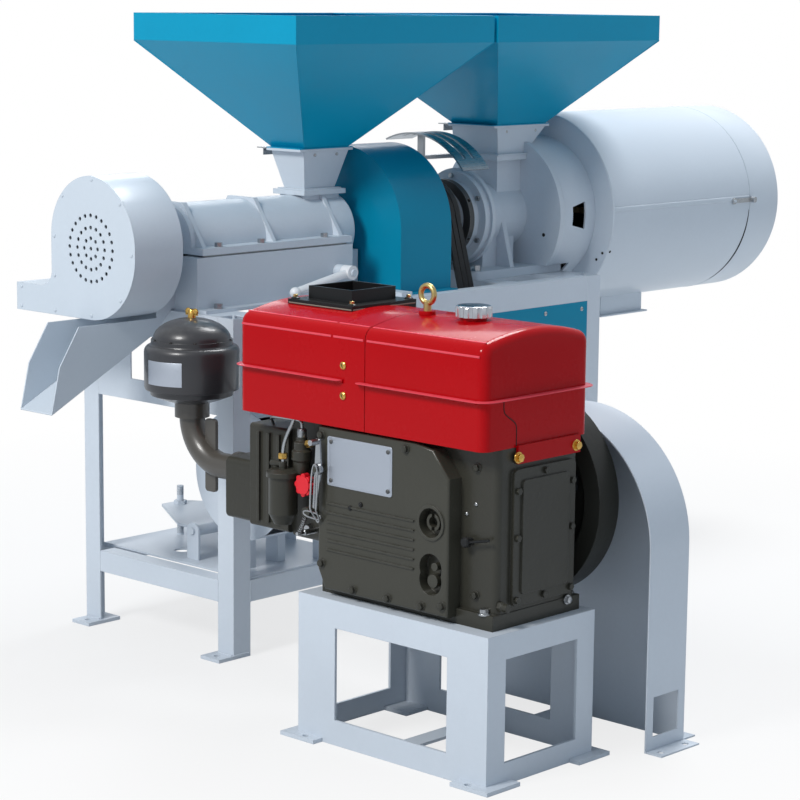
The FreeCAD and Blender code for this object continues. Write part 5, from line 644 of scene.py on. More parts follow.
def perforated(name, groups, colour):
    """Bright sieve sheet: rows of small dark holes round the shaft.

    The angle about the shaft and the place along it are cut into cells, and each cell
    has a round hole at its middle, every other row half a cell along.
    """
    material, tree, shader = blank_finish(name)
    parts = place(tree, "ShaderNodeSeparateXYZ", {"Vector": object_point(tree)}).outputs
    height = calc(tree, "SUBTRACT", parts["Z"], SHAFT_Z)
    around = calc(tree, "MULTIPLY", calc(tree, "ARCTAN2", parts["Y"], height), 240 / TAU)
    row = calc(tree, "FLOOR", around)
    shift = calc(tree, "MULTIPLY", calc(tree, "MODULO", row, 2.0), 0.5)
    along = calc(tree, "ADD", calc(tree, "MULTIPLY", parts["X"], 180.0), shift)
    a = calc(tree, "SUBTRACT", calc(tree, "FRACT", around), 0.5)
    b = calc(tree, "SUBTRACT", calc(tree, "FRACT", along), 0.5)
    square = calc(tree, "ADD", calc(tree, "MULTIPLY", a, a), calc(tree, "MULTIPLY", b, b))
    hole = spread(tree, calc(tree, "SQRT", square), 0.24, 0.30)
    tone = toned(tree, groups, colour, 0.05, 0.1, 6.0)
    feed(tree, shader, {
        "Base Color": blend_colour(tree, hole, opaque(srgb(22, 22, 22)), tone["Colour"]),
        "Roughness": spread(tree, hole, 0.0, 1.0, 0.8, 0.3),
        "Metallic": hole,
    })
    relief(tree, shader, hole, 0.0006)
    return material


# What a user may change

def colour_value(label, about, red, green, blue):
    """A colour setting, with its default in 0-255 screen values."""
    return FloatVectorProperty(name=label, description=about, subtype="COLOR", size=3, min=0.0, max=1.0,
                               default=srgb(red, green, blue))


class MachineColours(bpy.types.PropertyGroup):
    hopper_blue: colour_value("Hopper blue", "Paint of the hoppers", 1, 151, 188)
    # On the arched guard this darker blue is painted shade: the guard has the hoppers' blue and lies in the
    # hopper's shadow. On the front panel it is that panel's paint.
    panel_blue_and_guard_shade: colour_value("Panel blue", "Paint of the front panel and the arched guard", 1, 134, 167)
    machine_grey: colour_value("Machine grey", "Paint of the castings and drums", 203, 212, 221)
    frame_grey: colour_value("Frame grey", "Paint of the frame and the stand", 206, 214, 223)
    hood_red: colour_value("Tank red", "Gloss paint of the two tanks", 176, 4, 13)
    # Lighter than the tank red: a painted highlight on the flanges and beads, where they would catch the
    # light
    flange_highlight_red: colour_value("Flange red", "Paint on the tanks' flanges and pressed beads", 226, 74, 88)
    engine_olive: colour_value("Engine olive", "Paint of the engine castings", 53, 52, 45)
    cover_olive: colour_value("Cover olive", "Paint of the timing cover", 60, 59, 51)
    soft_black: colour_value("Black", "Paint of the air cleaner", 50, 50, 53)
    deep_black: colour_value("Deep black", "Paint of the filler frame", 26, 27, 28)
    pipe_brown: colour_value("Pipe brown", "Paint of the intake pipe", 74, 70, 64)
    seal_tan: colour_value("Seal", "The seal under the filler frame", 136, 126, 114)
    steel: colour_value("Steel", "Machined and zinc-plated steel", 176, 178, 180)
    iron: colour_value("Cast iron", "Bare pulleys, cone and adjusting ring", 92, 93, 94)
    wheel_dark: colour_value("Flywheel", "Paint of the flywheel", 46, 46, 42)
    brass: colour_value("Brass", "Screws, unions and wing nut", 214, 172, 92)
    passivated: colour_value("Yellow zinc", "The lifting eye", 196, 176, 118)
    chrome: colour_value("Chrome", "The fuel cap", 224, 224, 226)
    rubber: colour_value("Belt rubber", "The drive belts", 30, 30, 31)
    fibre: colour_value("Brush fibre", "The sieve brushes", 196, 170, 118)
    knob_red: colour_value("Knob red", "The control knob", 226, 16, 36)
    lever_white: colour_value("Lever white", "The discharge lever", 232, 234, 236)
    plate_silver: colour_value("Plate silver", "The bare plates of engine and air cleaner", 190, 196, 206)
    floor: colour_value("Floor", "The studio floor", 206, 207, 208)


class MachineSizes(bpy.types.PropertyGroup):
    weld_radius: FloatProperty(name="Weld radius", description="Half the width of the frame's weld beads",
                               default=0.0024, min=0.001, max=0.006, unit="LENGTH")
    panel_screw: FloatProperty(name="Panel screw", description="Radius of the front panel's screws",
                               default=0.0055, min=0.002, max=0.012, unit="LENGTH")
    cover_bolt: FloatProperty(name="Cover bolt", description="Width across the timing cover's bolt heads",
                              default=0.013, min=0.006, max=0.024, unit="LENGTH")
    pipe_radius: FloatProperty(name="Pipe radius", description="Radius of the injection and fuel pipes",
                               default=0.0032, min=0.0015, max=0.008, unit="LENGTH")
    brush_tufts: IntProperty(name="Brush tufts", description="Tufts along each sieve brush",
                             default=44, min=8, max=120)


class MACHINE_OT_finishes(bpy.types.Operator):
    """Builds the node groups and finishes, and gives each CAD node its own"""

    bl_idname = "machine.finishes"
    bl_label = "Finishes"

    def execute(self, context):
        c = context.scene.machine_colours
        groups = {"edge": edge_group(), "tone": tone_group(), "grain": grain_group(),
                  "streak": streak_group()}
        # The numbers of a paint are its roughness, coat, change of tone, dust and wear
        FINISHES.update({
            "hopper": painted("hopper_paint", groups, c.hopper_blue, 0.34, 0.15, 0.05, 0.02, 0.10),
            # On the arched guard this darker panel blue is painted shade; on the front panel it is its paint
            "panel": painted("panel_and_guard_shade_paint", groups, c.panel_blue_and_guard_shade, 0.36, 0.12, 0.05, 0.02, 0.10),
            "sheet": painted("machine_paint", groups, c.machine_grey, 0.36, 0.20, 0.035, 0.10, 0.16),
            "casting": cast("casting_paint", groups, c.machine_grey, 0.42, grain=150.0, depth=0.0003,
                            variation=0.05, dust=0.08, wear=0.14, coat=0.12),
            "frame": painted("frame_paint", groups, c.frame_grey, 0.38, 0.15, 0.04, 0.10, 0.20),
            "tank": painted("tank_gloss", groups, c.hood_red, 0.26, 0.34, 0.03, 0.0, 0.05, grain=90.0,
                            depth=0.00005, edge=0.002, sheen=0.04),
            # The flange finish is the lighter flange red: a painted highlight on the lips and shoulder beads
            "flange": painted("flange_highlight_gloss", groups, c.flange_highlight_red, 0.30, 0.34, 0.03, 0.0, 0.05, grain=90.0,
                              depth=0.00004, edge=0.0006, sheen=0.2),
            "engine": cast("engine_paint", groups, c.engine_olive, 0.36, coat=0.20),
            "cover": cast("cover_paint", groups, c.cover_olive, 0.34, coat=0.22, grain=220.0, depth=0.0002),
            "black": painted("black_enamel", groups, c.soft_black, 0.36, 0.30, 0.08, 0.14, 0.10,
                             grain=240.0, depth=0.00008, sheen=0.5),
            "filler": painted("filler_enamel", groups, c.deep_black, 0.30, 0.20, 0.06, 0.04, 0.06,
                              sheen=0.2),
            "pipe": painted("pipe_enamel", groups, c.pipe_brown, 0.34, 0.35, 0.08, 0.06, 0.10, grain=240.0,
                            depth=0.00008, sheen=0.6),
            "seal": plastic("seal_board", groups, c.seal_tan, 0.7),
            "steel": bright("bright_steel", groups, c.steel),
            "turned_steel": bright("turned_steel", groups, c.steel, 0.18, 0.34, (900, 40, 40)),
            "iron": cast("bare_iron", groups, c.iron, 0.48, metallic=0.7, wear=0.5,
                         bare=srgb(170, 170, 168)),
            "wheel": cast("wheel_paint", groups, c.wheel_dark, 0.45, coat=0.1),
            "brass": bright("brass", groups, c.brass, 0.2, 0.34, (300, 300, 300)),
            "eye": bright("yellow_zinc", groups, c.passivated, 0.28, 0.44, (200, 200, 200), 0.16),
            "chrome": bright("chrome", groups, c.chrome, 0.06, 0.14, (160, 160, 160), 0.02),
            "rubber": belting("belt_rubber", groups, c.rubber),
            "fibre": bristle("brush_fibre", groups, c.fibre),
            "sieve": perforated("sieve_sheet", groups, c.steel),
            "knob": plastic("knob_plastic", groups, c.knob_red, 0.3),
            "white": plastic("lever_enamel", groups, c.lever_white, 0.32),
            "plate": bright("data_plate", groups, c.plate_silver, 0.34, 0.5, (40, 900, 900), 0.03),
            # Near-black painted shade, for the screw slots, the tank's end seam and the slit at the drum's
            # cap
            "gap": plastic("shadow_gap", groups, srgb(14, 12, 12), 0.8),
        })
        for finish, nodes in NODE_FINISHES.items():
            for name in nodes.split():
                self.dress(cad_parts[name], FINISHES[finish])
        for name, finish, axis, start, end in SECOND_FINISHES:
            self.second(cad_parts[name], FINISHES[finish], axis, start, end)
        return {"FINISHED"}

    def dress(self, node, material):
        """Gives a node its finish and smooth faces with crisp edges."""
        node.data.materials.clear()
        node.data.materials.append(material)
        joined = node.modifiers.new("joined", "WELD")
        joined.merge_threshold = 1e-5
        node.data.polygons.foreach_set("use_smooth", np.ones(len(node.data.polygons), bool))
        crisp = node.modifiers.new("crisp", "EDGE_SPLIT")
        crisp.split_angle = math.radians(28)

    def second(self, node, material, axis, start, end):
        """Gives a node's faces from start to end along an axis a second finish."""
        node.data.materials.append(material)
        middles = np.empty(3 * len(node.data.polygons))
        node.data.polygons.foreach_get("center", middles)
        chosen = (middles[axis::3] > start) & (middles[axis::3] < end)
        node.data.polygons.foreach_set("material_index", chosen.astype(np.int32))


NODE_FINISHES = {
    "hopper": "peeler_hopper mill_hopper",
    # The arched guard takes the darker panel paint as painted shade, in place of the hopper paint
    "panel": "front_panel pulley_guard",
    "sheet": "hopper_necks fan_volute fan_cover discharge_chute vent_ring sieve_drum drum_door "
             "peeler_casing",
    "casting": "peeler_barrel mill_body mill_bearing_cap shaft_bearings fan_impeller",
    "frame": "frame_legs frame_rails lower_shelf end_panel tension_plate engine_stand flywheel_guard "
             "countershaft_guard",
    "tank": "water_tank fuel_tank",
    "engine": "crankcase cylinder_head fuel_filter",
    "cover": "gear_cover",
    "black": "air_filter",
    "filler": "water_frame",
    "pipe": "intake_pipe",
    "steel": "peeler_gate mill_gate mill_belt_cover door_latch speed_lever fasteners",
    "turned_steel": "peeler_shaft mill_shaft countershaft crankshaft",
    "iron": "adjusting_ring peeling_roller peeler_pulley grinding_cone mill_pulley countershaft_pulleys "
            "engine_pulley",
    "wheel": "flywheel",
    "eye": "lifting_eye",
    "chrome": "fuel_cap",
    "rubber": "drive_belts",
    "fibre": "sieve_brushes",
    "sieve": "sieve_screen peeler_screen",
    "knob": "control_knob",
    "white": "pressure_lever",
}

# A second finish for part of a node: node, finish, axis as 0 to 2, and from where to where
# along it. They are the wing nut on the air cleaner, the lifting eye's foot and the bolts
# at the engine's end.
SECOND_FINISHES = (
    ("air_filter", "brass", 2, 0.8012, 2.0),
    ("lifting_eye", "tank", 2, 0.0, 0.881),
    ("fasteners", "engine", 1, -2.0, -1.2),
)


class MACHINE_OT_frame_welds(bpy.types.Operator):
    """Weld beads where the rails meet the legs, and along the outer sides of each foot"""

    bl_idname = "machine.frame_welds"
    bl_label = "Frame welds"

    def execute(self, context):
        radius = context.scene.machine_sizes.weld_radius
        sink = radius * 0.45
        side_x, side_y = FRAME_HALF_X - sink, FRAME_HALF_Y - sink
        leg_x, leg_y = FRAME_HALF_X - LEG_WIDTH, FRAME_HALF_Y - LEG_WIDTH
        foot = FOOT_PLATE + radius * 0.3
        outer_x, outer_y = FRAME_HALF_X + 2 * MM, FRAME_HALF_Y - 0.5 * MM
        runs = [((outer_x, FRAME_HALF_Y - 4 * MM, foot), (outer_x, FRAME_HALF_Y - 50 * MM, foot), radius),
                ((FRAME_HALF_X - 2 * MM, outer_y, foot), (FRAME_HALF_X - 48 * MM, outer_y, foot), radius)]
        over_from, over_to = FRAME_HALF_Y - 3 * MM, FRAME_HALF_Y - 45 * MM
        for bottom, top in RAILS:
            runs += [((leg_x, side_y, bottom), (leg_x, side_y, top), radius),
                     ((side_x, leg_y, bottom), (side_x, leg_y, top), radius),
                     ((leg_x, over_from, top - sink), (leg_x, over_to, top - sink), radius * 0.8)]
        corners = [np.array((sx, sy, 1)) for sx in (-1, 1) for sy in (-1, 1)]
        beads = [weld(corner * start, corner * end, thick)
                 for corner in corners for start, end, thick in runs]
        make_piece("frame_weld_beads", beads, "frame")
        return {"FINISHED"}


class MACHINE_OT_bolts(bpy.types.Operator):
    """Bolts and screws too small for the solids: panel, covers, stand and hopper necks"""

    bl_idname = "machine.bolts"
    bl_label = "Bolts and screws"

    def execute(self, context):
        sizes = context.scene.machine_sizes
        radius, dome = sizes.panel_screw, 2.8 * MM
        face = low("front_panel")[1]
        spots = [mm(x, 0, z) + face * Y for x in (-215, 0, 215, 430, 575) for z in (300, 697)]
        make_piece("panel_screws", screw_heads(spots, -Y, radius, dome), "steel")
        slots = screw_slots(spots, -Y, (1, 0, 0.4), radius, dome)
        make_piece("panel_screw_slots", slots, "gap")
        self.cover_bolts(sizes.cover_bolt)
        self.fan_screws()
        spots = [mm(x, y, 330) for x, y in ((-893, -1225), (-644, -1225), (-644, -1120), (-644, -830))]
        make_piece("engine_base_bolts", bolt_heads(spots, Z, 17 * MM), "steel")
        spots = [(x, 1 * MM - half, z) for left, right, half, z in HOPPER_MOUTHS.values()
                 for x in (left + 38 * MM, right - 38 * MM)]
        make_piece("neck_screws", screw_heads(spots, -Y, 4.0 * MM, 2.4 * MM), "steel")
        return {"FINISHED"}

    def cover_bolts(self, size):
        """Bolts round the timing cover, its two plugs, and two screws on the block beside it."""
        rim = [(-1045, 631), (-815, 628), (-817, 366), (-905, 326), (-1000, 326), (-1090, 326), (-1144, 336)]
        make_piece("cover_bolts", bolt_heads(on_side(COVER_FACE, rim), -X, size), "engine")
        plugs = screw_heads(on_side(COVER_FACE, [(-896, 491), (-925, 502)]), -X, 5.0 * MM, 4.0 * MM)
        make_piece("cover_plugs", plugs, "filler")
        screws = screw_heads(on_side(ENGINE_SIDE, [(-1172, 517), (-1196, 539)]), -X, 4.2 * MM, 3.6 * MM)
        make_piece("side_screws", screws, "steel")

    def fan_screws(self):
        """Screws round the fan's cover and its outlet, given by their height over the shaft."""
        rim = [(-5, 154), (-100, 105), (-138, -5), (-100, -108), (0, -150), (128, 20), (98, 112),
               (128, -150), (250, -150), (250, -106), (128, -70)]
        spots = on_side(low("fan_cover")[0], rim) + SHAFT_Z * Z
        make_piece("fan_cover_screws", screw_heads(spots, -X, 4.2 * MM, 2.2 * MM), "sheet")


class MACHINE_OT_tank_trim(bpy.types.Operator):
    """Screws, flanges, beads and the end seam of the red tanks, and the filler frame's ears and seal"""

    bl_idname = "machine.tank_trim"
    bl_label = "Tank trim"

    def execute(self, context):
        side, end, _ = low("fuel_tank")
        side += TANK_BEAD
        spots = [(side, -0.880, 0.775), (side, -0.880, 0.715)]
        radius, dome = 8.0 * MM, 4.6 * MM
        make_piece("tank_screws", screw_heads(spots, -X, radius, dome), "brass")
        slots = screw_slots(spots, -X, (0, 0.5, 1), radius, dome)
        make_piece("tank_screw_slots", slots, "gap")
        apron = [(-0.838, end, 0.631), (-0.665, end, 0.633)]
        make_piece("apron_bolts", bolt_heads(apron, -Y, 15 * MM), "brass")
        self.lips()
        self.beads(side)
        self.seam(end + TANK_APRON)
        self.frame_ears()
        return {"FINISHED"}

    def lips(self):
        """The flange where the pressed halves of the tanks meet, open behind the screws and at the joint.

        Its reach from the tank grows from a sixth as sqrt(t * (2 - t)) over the first 16 mm
        of each run.
        """
        z, joint, open_from, open_to = 0.746, -0.9387, -0.918, -0.879
        bottom, top = low("fuel_tank") + TANK_BEAD, high("water_tank") - TANK_BEAD
        bottom[1] += TANK_APRON - TANK_BEAD
        middle, size = (bottom + top) / 2, top - bottom
        corners = rounded_outline(size[0], size[1], 20 * MM, 8) + middle[:2]
        section = mm((-2, -1.2), (13.2, -1.2), (14.4, -0.5), (14.4, 0.7), (13.2, 1.4), (-2, 1.4))
        halves = (("water_tank_lip", (top[0], joint + MM), corners[:16], (bottom[0], open_to)),
                  ("fuel_tank_lip", (bottom[0], open_from), corners[16:], (top[0], joint - MM)))
        for name, start, turn, end in halves:
            flat = np.concatenate([line(start, turn[0], 60)[:-1], turn, line(turn[-1], end, 60)[1:]])
            path = np.column_stack([flat, np.full(len(flat), z)])
            run = np.concatenate([[0], np.cumsum(np.linalg.norm(np.diff(path, axis=0), axis=1))])
            t = np.clip(np.minimum(run, run[-1] - run) / (16 * MM), 0, 1)
            reach = 1 / 6 + 5 / 6 * np.sqrt(t * (2 - t))
            grid = path[:, None] + (carried(section, path, Z) - path[:, None]) * reach[:, None, None]
            # The lips take the lighter flange red, a painted highlight along their edge
            make_piece(name, capped(grid), "flange")

    def beads(self, side):
        """Two pressed beads along the shoulder, where it leaves the side and where it meets the top."""
        rows = []
        for x, z, out in ((side, 0.8305, -X), (side + 18.4 * MM, 0.8554, (-0.265, 0, 0.964))):
            for start, end in ((-0.590, -0.846), (-0.852, -0.934), (-0.944, -1.236)):
                path = line((x, start, z), (x, end, z), 12)
                rows.append(capped(carried(strip(4.6 * MM, 1.1 * MM), path, out)))
        # The beads take the lighter flange red, a painted highlight along the shoulder
        make_piece("tank_shoulder_beads", rows, "flange")

    def seam(self, end):
        """The seam down the fuel tank's end as a dark rod of painted shade: a round section along a path
        with eased corners.
        """
        corners = mm((-876, 0, 742), (-876, 0, 722), (-866, 0, 713), (-846, 0, 701), (-838, 0, 692),
                     (-838, 0, 672), (-838, 0, 652))
        path = eased(corners + end * Y, 3)
        make_piece("tank_end_seam", rod(1.1 * MM, 8, path, Y), "gap")

    def frame_ears(self):
        """The filler frame's round ears with their screws, and the seal under it.

        The ears are turned profiles, and the seal is a flat section carried round a
        rectangle with round corners.
        """
        bottom, top = low("water_frame"), high("water_frame")
        face, inset = 0.879, 11 * MM
        spots = np.array([(x, y, face) for x in (bottom[0] + inset, top[0] - inset)
                          for y in (bottom[1] + inset, top[1] - inset)])
        turn_piece("filler_frame_ears", "filler", spots, Z, 24,
                   [(0, 3.5), (7, 3.5), (9, 2), (9.5, 0), (9.5, -4), (0, -4)])
        screws = bolt_heads(spots + 3.5 * MM * Z, Z, 9 * MM, False)
        make_piece("filler_frame_screws", screws, "eye")
        middle, size = (bottom + top) / 2, top - bottom
        flat = rounded_outline(size[0] - 2 * MM, size[1] - 2 * MM, 6 * MM) + middle[:2]
        path = np.column_stack([flat, np.full(len(flat), face - 7.5 * MM)])
        section = mm((-1, -1.3), (2.2, -1.3), (2.6, 0), (2.2, 1.3), (-1, 1.3))
        make_piece("filler_frame_seal", looped(section, path, Z), "seal")


class MACHINE_OT_engine_trim(bpy.types.Operator):
    """Data plate, pump, pipes, governor links, springs, plugs and drain on the engine"""

    bl_idname = "machine.engine_trim"
    bl_label = "Engine trim"

    def execute(self, context):
        self.data_plate()
        self.pump_and_pipes(context.scene.machine_sizes.pipe_radius)
        self.governor()
        self.drain_and_plugs()
        self.cleaner_trim()
        return {"FINISHED"}

    def data_plate(self):
        """The bare plate, built up in layers that are drawn in and lifted, and its four rivets."""
        centre = np.array((COVER_FACE, -0.9205, 0.5785))
        layers = mm((0, -0.5), (0, 1.0), (0.6, 1.6), (4.5, 1.6), (5.2, 1.2), (6.2, 1.2))
        plate = pad(centre, -Y, Z, (0.178, 0.100), 6 * MM, layers)
        make_piece("data_plate", plate, "plate")
        rivets = [centre + mm(-1.2, sy * 78, sz * 39) for sy in (-1, 1) for sz in (-1, 1)]
        heads = screw_heads(rivets, -X, 4.4 * MM, 2.6 * MM)
        make_piece("data_plate_rivets", heads, "iron")

    def pump_and_pipes(self, pipe):
        """The injection pump, its union and bleed screw as turned profiles, and two rigid pipes.

        A pipe is a round section along a path whose corners are cut at a quarter of each
        side, time after time.
        """
        pump = mm(-889, -722, 0)
        turn_piece("injection_pump", "engine", pump, Z, 28,
                   [(0, 532), (15, 532), (17, 536), (17, 556), (21, 560), (21, 578), (16, 582), (16, 596),
                    (11, 600), (11, 606), (0, 606)])
        turn_piece("pump_union", "steel", pump, Z, 24,
                   [(0, 624), (8, 624), (10, 621), (10, 606), (0, 606)], [0, 0, 0.6, 1, 1])
        route = mm((-889, -722, 618), (-889, -722, 640), (-889, -700, 640), (-884, -640, 638),
                   (-872, -612, 632), (-858, -606, 618), (-858, -606, 606))
        make_piece("injection_pipe", rod(pipe, 10, eased(route), X), "steel")
        start = high("fuel_filter")[2] / MM - 4
        route = mm((-911, -690, start), (-911, -690, 585), (-909, -700, 612), (-903, -712, 640),
                   (-901, -716, 656))
        make_piece("fuel_pipe", rod(pipe * 1.25, 10, eased(route), X), "steel")
        turn_piece("fuel_union", "brass", mm(-911, -690, 566), Z, 24,
                   [(0, -6), (9, -6), (10, -4), (10, 4), (9, 6), (0, 6)], [0, 1, 1, 1, 1, 0])
        turn_piece("pump_bleed_screw", "brass", mm(-889, -738, 594), 0.25 * Z - Y, 24,
                   [(0, 0), (9, 0), (9, 10), (6, 12), (6, 26), (8, 28), (8, 36), (0, 36)],
                   [0, 1, 1, 0, 0, 1, 1, 0])

    def cleaner_trim(self):
        """The air cleaner's bare plate, lid clips and wing nut, and the web under its pipe.

        The plate is a flat section along an arc round the bowl, the clips and the nut's
        ears and hub are turned profiles, and the web is a plate with round corners.
        """
        bottom, top = low("air_filter"), high("air_filter")
        x, y, _ = (bottom + top) / 2
        path = arc_path((x, y, 0.689), (top[0] - bottom[0]) / 2, 165, 216, 40, X, Y)
        section = mm((-0.4, -26), (0.5, -26), (0.9, -25), (0.9, 25), (0.5, 26), (-0.4, 26))
        make_piece("cleaner_plate", capped(carried(section, path, Z)), "plate")
        ring = arc_path((x, y, 0.7535), 84.5 * MM, 160, 160 + 324, 10, X, Y)
        turn_piece("lid_clips", "gap", ring, Z, 14,
                   [(0, 3.4), (2.6, 2.9), (4.4, 1.4), (4.6, -1.5), (0, -1.5)])
        ears = [(x, y + shift, 0.8135) for shift in (-11.5 * MM, 11.5 * MM)]
        turn_piece("wing_nut_ears", "brass", ears, X, 24,
                   [(0, 4.4), (4.2, 4.0), (7.0, 2.6), (8.2, 0), (7.0, -2.6), (4.2, -4.0), (0, -4.4)])
        turn_piece("wing_nut_hub", "brass", (x, y, 0), Z, 24,
                   [(0, 819), (5.4, 819), (7.2, 816.5), (9.0, 803.5), (9.0, 800), (0, 800)])
        layers = mm((0, -4), (0, 3), (1, 4), (2, 4))
        web = pad(np.array((x, -0.352, 0.506)), -Y, Z, (0.034, 0.160), 8 * MM, layers)
        make_piece("intake_web", web, "pipe")

    def governor(self):
        """The governor's wire loops and spring, and the boss, post and nut beside them.

        At angle a a loop goes half its width times cos a across, and along it half its
        length times the sign of sin a times |sin a| to the power 0.65; below the speed
        lever it bends back to the hook's plane. The spring is a helix, and the rest are
        turned profiles.
        """
        back_x, bend_from, bend_over = -0.9310, 0.478, 24 * MM
        loops = (("governor_link", -0.9465, mm(-817.5, 571), mm(-811, 450), 8.8 * MM),
                 ("governor_hook", back_x, mm(-818, 460), mm(-770, 464), 6.0 * MM))
        angle = np.linspace(0, TAU, 48, endpoint=False)
        reach = 0.5 * np.sign(np.sin(angle)) * np.abs(np.sin(angle)) ** 0.65
        for name, x, top, foot, half in loops:
            run = top - foot
            out = np.array((-run[1], run[0])) / np.linalg.norm(run)
            flat = (top + foot) / 2 + reach[:, None] * run + half * np.cos(angle)[:, None] * out
            bend = np.clip((bend_from - flat[:, 1]) / bend_over, 0, 1) * (back_x - x)
            path = np.column_stack([x + bend, flat])
            make_piece(name, looped(circle(1.9 * MM, 8), path, X), "steel")
        start, end = mm(-926, -774, 462), mm(-920, -746, 414)
        coil = helix(start, end, 10, 160, 4.2 * MM, *across(end - start))
        make_piece("governor_spring", rod(1.0 * MM, 6, coil, unit(end - start)), "steel")
        turn_piece("governor_boss", "engine", (ENGINE_SIDE, -0.776, 0.464), -X, 24,
                   [(0, 0), (14, 0), (14, 20), (11, 24), (11, 44), (0, 44)])
        turn_piece("spring_post", "steel", mm(-860, -746, 414), -X, 20,
                   [(0, 0), (6, 0), (6, 46), (4, 48), (4, 66), (0, 66)])
        turn_piece("drain_nut", "steel", mm(-860, -719, 412), -X, 24,
                   [(0, 12), (8, 12), (10, 9), (10, 0), (0, 0)], [0, 0, 0.6, 1, 1])

    def drain_and_plugs(self):
        """The breather's turned knob and round handle, the block's bolts and the oil drain."""
        turn_piece("breather_knob", "filler", (ENGINE_SIDE, -1.183, 0.465), -X, 28,
                   [(0, 0), (8, 0), (8, 9), (10.5, 11), (10.5, 18), (8, 21), (0, 21)])
        handle = line((-0.902, -1.186, 0.465), (-0.902, -1.241, 0.477), 6)
        make_piece("breather_handle", rod(3.0 * MM, 10, handle, X), "filler")
        corners = on_side(ENGINE_SIDE, [(-1197, 361), (-1197, 610)])
        make_piece("corner_bolts", bolt_heads(corners, -X, 13 * MM), "engine")
        end = [(-0.680, low("crankcase")[1] + 8 * MM, 0.326)]
        make_piece("end_bolts", bolt_heads(end, -Y, 13 * MM), "steel")
        turn_piece("oil_drain", "engine", mm(-878, -1250, 346), -Y, 24,
                   [(0, 0), (11, 0), (11, 8), (8, 10), (8, 22), (0, 22)], [0, 1, 1, 0, 0, 0])


class MACHINE_OT_drum_trim(bpy.types.Operator):
    """Lap seam, rolled rims, rivets and the gap at the cap on the sieve drum"""

    bl_idname = "machine.drum_trim"
    bl_label = "Drum trim"

    def execute(self, context):
        front = low("sieve_drum")[0]
        seam_z = 0.945
        seam_y = -math.sqrt(DRUM_RADIUS ** 2 - (seam_z - SHAFT_Z) ** 2)
        seam = line((front + 4 * MM, seam_y, seam_z), (CAP_X - 4 * MM, seam_y, seam_z), 24)
        lap = capped(carried(strip(14 * MM, 1.3 * MM), seam, -Y))
        make_piece("drum_lap_seam", lap, "sheet")
        roll = self.roll(front + 4 * MM, DRUM_RADIUS - 0.5 * MM, circle(3.2 * MM, 10))
        make_piece("drum_front_roll", roll, "sheet")
        self.cap_gap()
        self.rivets(front)
        roll = self.roll(CAP_X + 1.5 * MM, DRUM_RADIUS - 0.6 * MM, circle(1.5 * MM, 8))
        make_piece("cap_edge_roll", roll, "sheet", "drum_door_body")
        return {"FINISHED"}

    def roll(self, x, radius, section):
        """A round section carried once round the shaft."""
        return carried(section, arc_path((x, 0, SHAFT_Z), radius, 0, 360, 97), X)

    def cap_gap(self):
        """The slit before the cap as a dark strip of painted shade: a low strip that swells with a sine
        along its arc.
        """
        slit = arc_path((CAP_X - 2 * MM, 0, SHAFT_Z), DRUM_RADIUS + 0.1 * MM, 184, 240, 60)
        swell = 0.25 + 0.75 * np.sin(np.linspace(0, math.pi, 60))
        reach = carried(strip(7.5 * MM, 0.5 * MM)[:, ::-1], slit, X) - slit[:, None]
        gap = capped(slit[:, None] + reach * swell[:, None, None])
        make_piece("drum_cap_gap", gap, "gap")

    def rivets(self, front):
        """Two rivets on the drum's front, one on the mill's side and one on the drum's skin."""
        skin = round_shaft(front + 14 * MM, DRUM_RADIUS, 202)
        heads = [screw_heads([round_shaft(front, 0.246, 204), round_shaft(front, 0.237, 210)], -X,
                             3.6 * MM, 2.0 * MM),
                 screw_heads([round_shaft(0.550, 0.156, 198)], -X, 5.0 * MM, 1.4 * MM),
                 screw_heads([skin], skin - (skin[0], 0, SHAFT_Z), 3.6 * MM, 2.0 * MM)]
        make_piece("drum_rivets", np.concatenate(heads), "gap")


class MACHINE_OT_hopper_trim(bpy.types.Operator):
    """Folded seams down the four corners of each hopper"""

    bl_idname = "machine.hopper_trim"
    bl_label = "Hopper trim"

    def execute(self, context):
        for node, (left, right, half, _) in HOPPER_MOUTHS.items():
            bottom, top = low(node), high(node)
            knee = top[2] - 64 * MM
            beads = []
            for x_top, x_mouth in ((bottom[0], left), (top[0], right)):
                for sign in (-1, 1):
                    start = (x_top, sign * top[1], knee)
                    end = (x_mouth, sign * half, bottom[2] + 4 * MM)
                    beads.append(weld(start, end, 1.6 * MM, 4.0 * MM))
            make_piece(node + "_seams", beads, "hopper")
        return {"FINISHED"}


class MACHINE_OT_brushes(bpy.types.Operator):
    """Tufts along the four sieve brushes, reaching to the screen"""

    bl_idname = "machine.brushes"
    bl_label = "Sieve brushes"

    def execute(self, context):
        count = context.scene.machine_sizes.brush_tufts
        inset, root, apart, length, width = mm(12, 198, 6, 13.5, 11)
        along = np.linspace(low("sieve_brushes")[0] + inset, high("sieve_brushes")[0] - inset, count)
        rows = []
        for turn in np.arange(4) * TAU / 4:
            out = np.array((0.0, -math.sin(turn), math.cos(turn)))
            side = np.cross(out, X)
            for shift in (-apart, apart):
                roots = along[:, None] * X + out * root + side * shift + Z * SHAFT_Z
                rows.append(capped(tufts(roots, np.repeat(out[None], count, 0), length, width)))
        make_piece("brush_tufts", rows, "fibre", "mill_rotor")
        return {"FINISHED"}


class MACHINE_OT_tension_thread(bpy.types.Operator):
    """The thread on the tension rod, left out where the plate's nuts travel"""

    bl_idname = "machine.tension_thread"
    bl_label = "Tension thread"

    def execute(self, context):
        pitch, radius = mm(2.5, 8.0)
        foot = mm(-410, 190, 0)
        thread = mm((-0.4, -0.9), (0.7, 0), (-0.4, 0.9))
        runs = []
        for bottom, top in ((0.186, 0.2365), (0.2815, 0.303)):
            turns = (top - bottom) / pitch
            coil = helix(foot + bottom * Z, foot + top * Z, turns, int(turns * 14), radius, X, Y)
            runs.append(capped(carried(thread, coil, Z)))
        make_piece("tension_thread", runs, "steel")
        return {"FINISHED"}


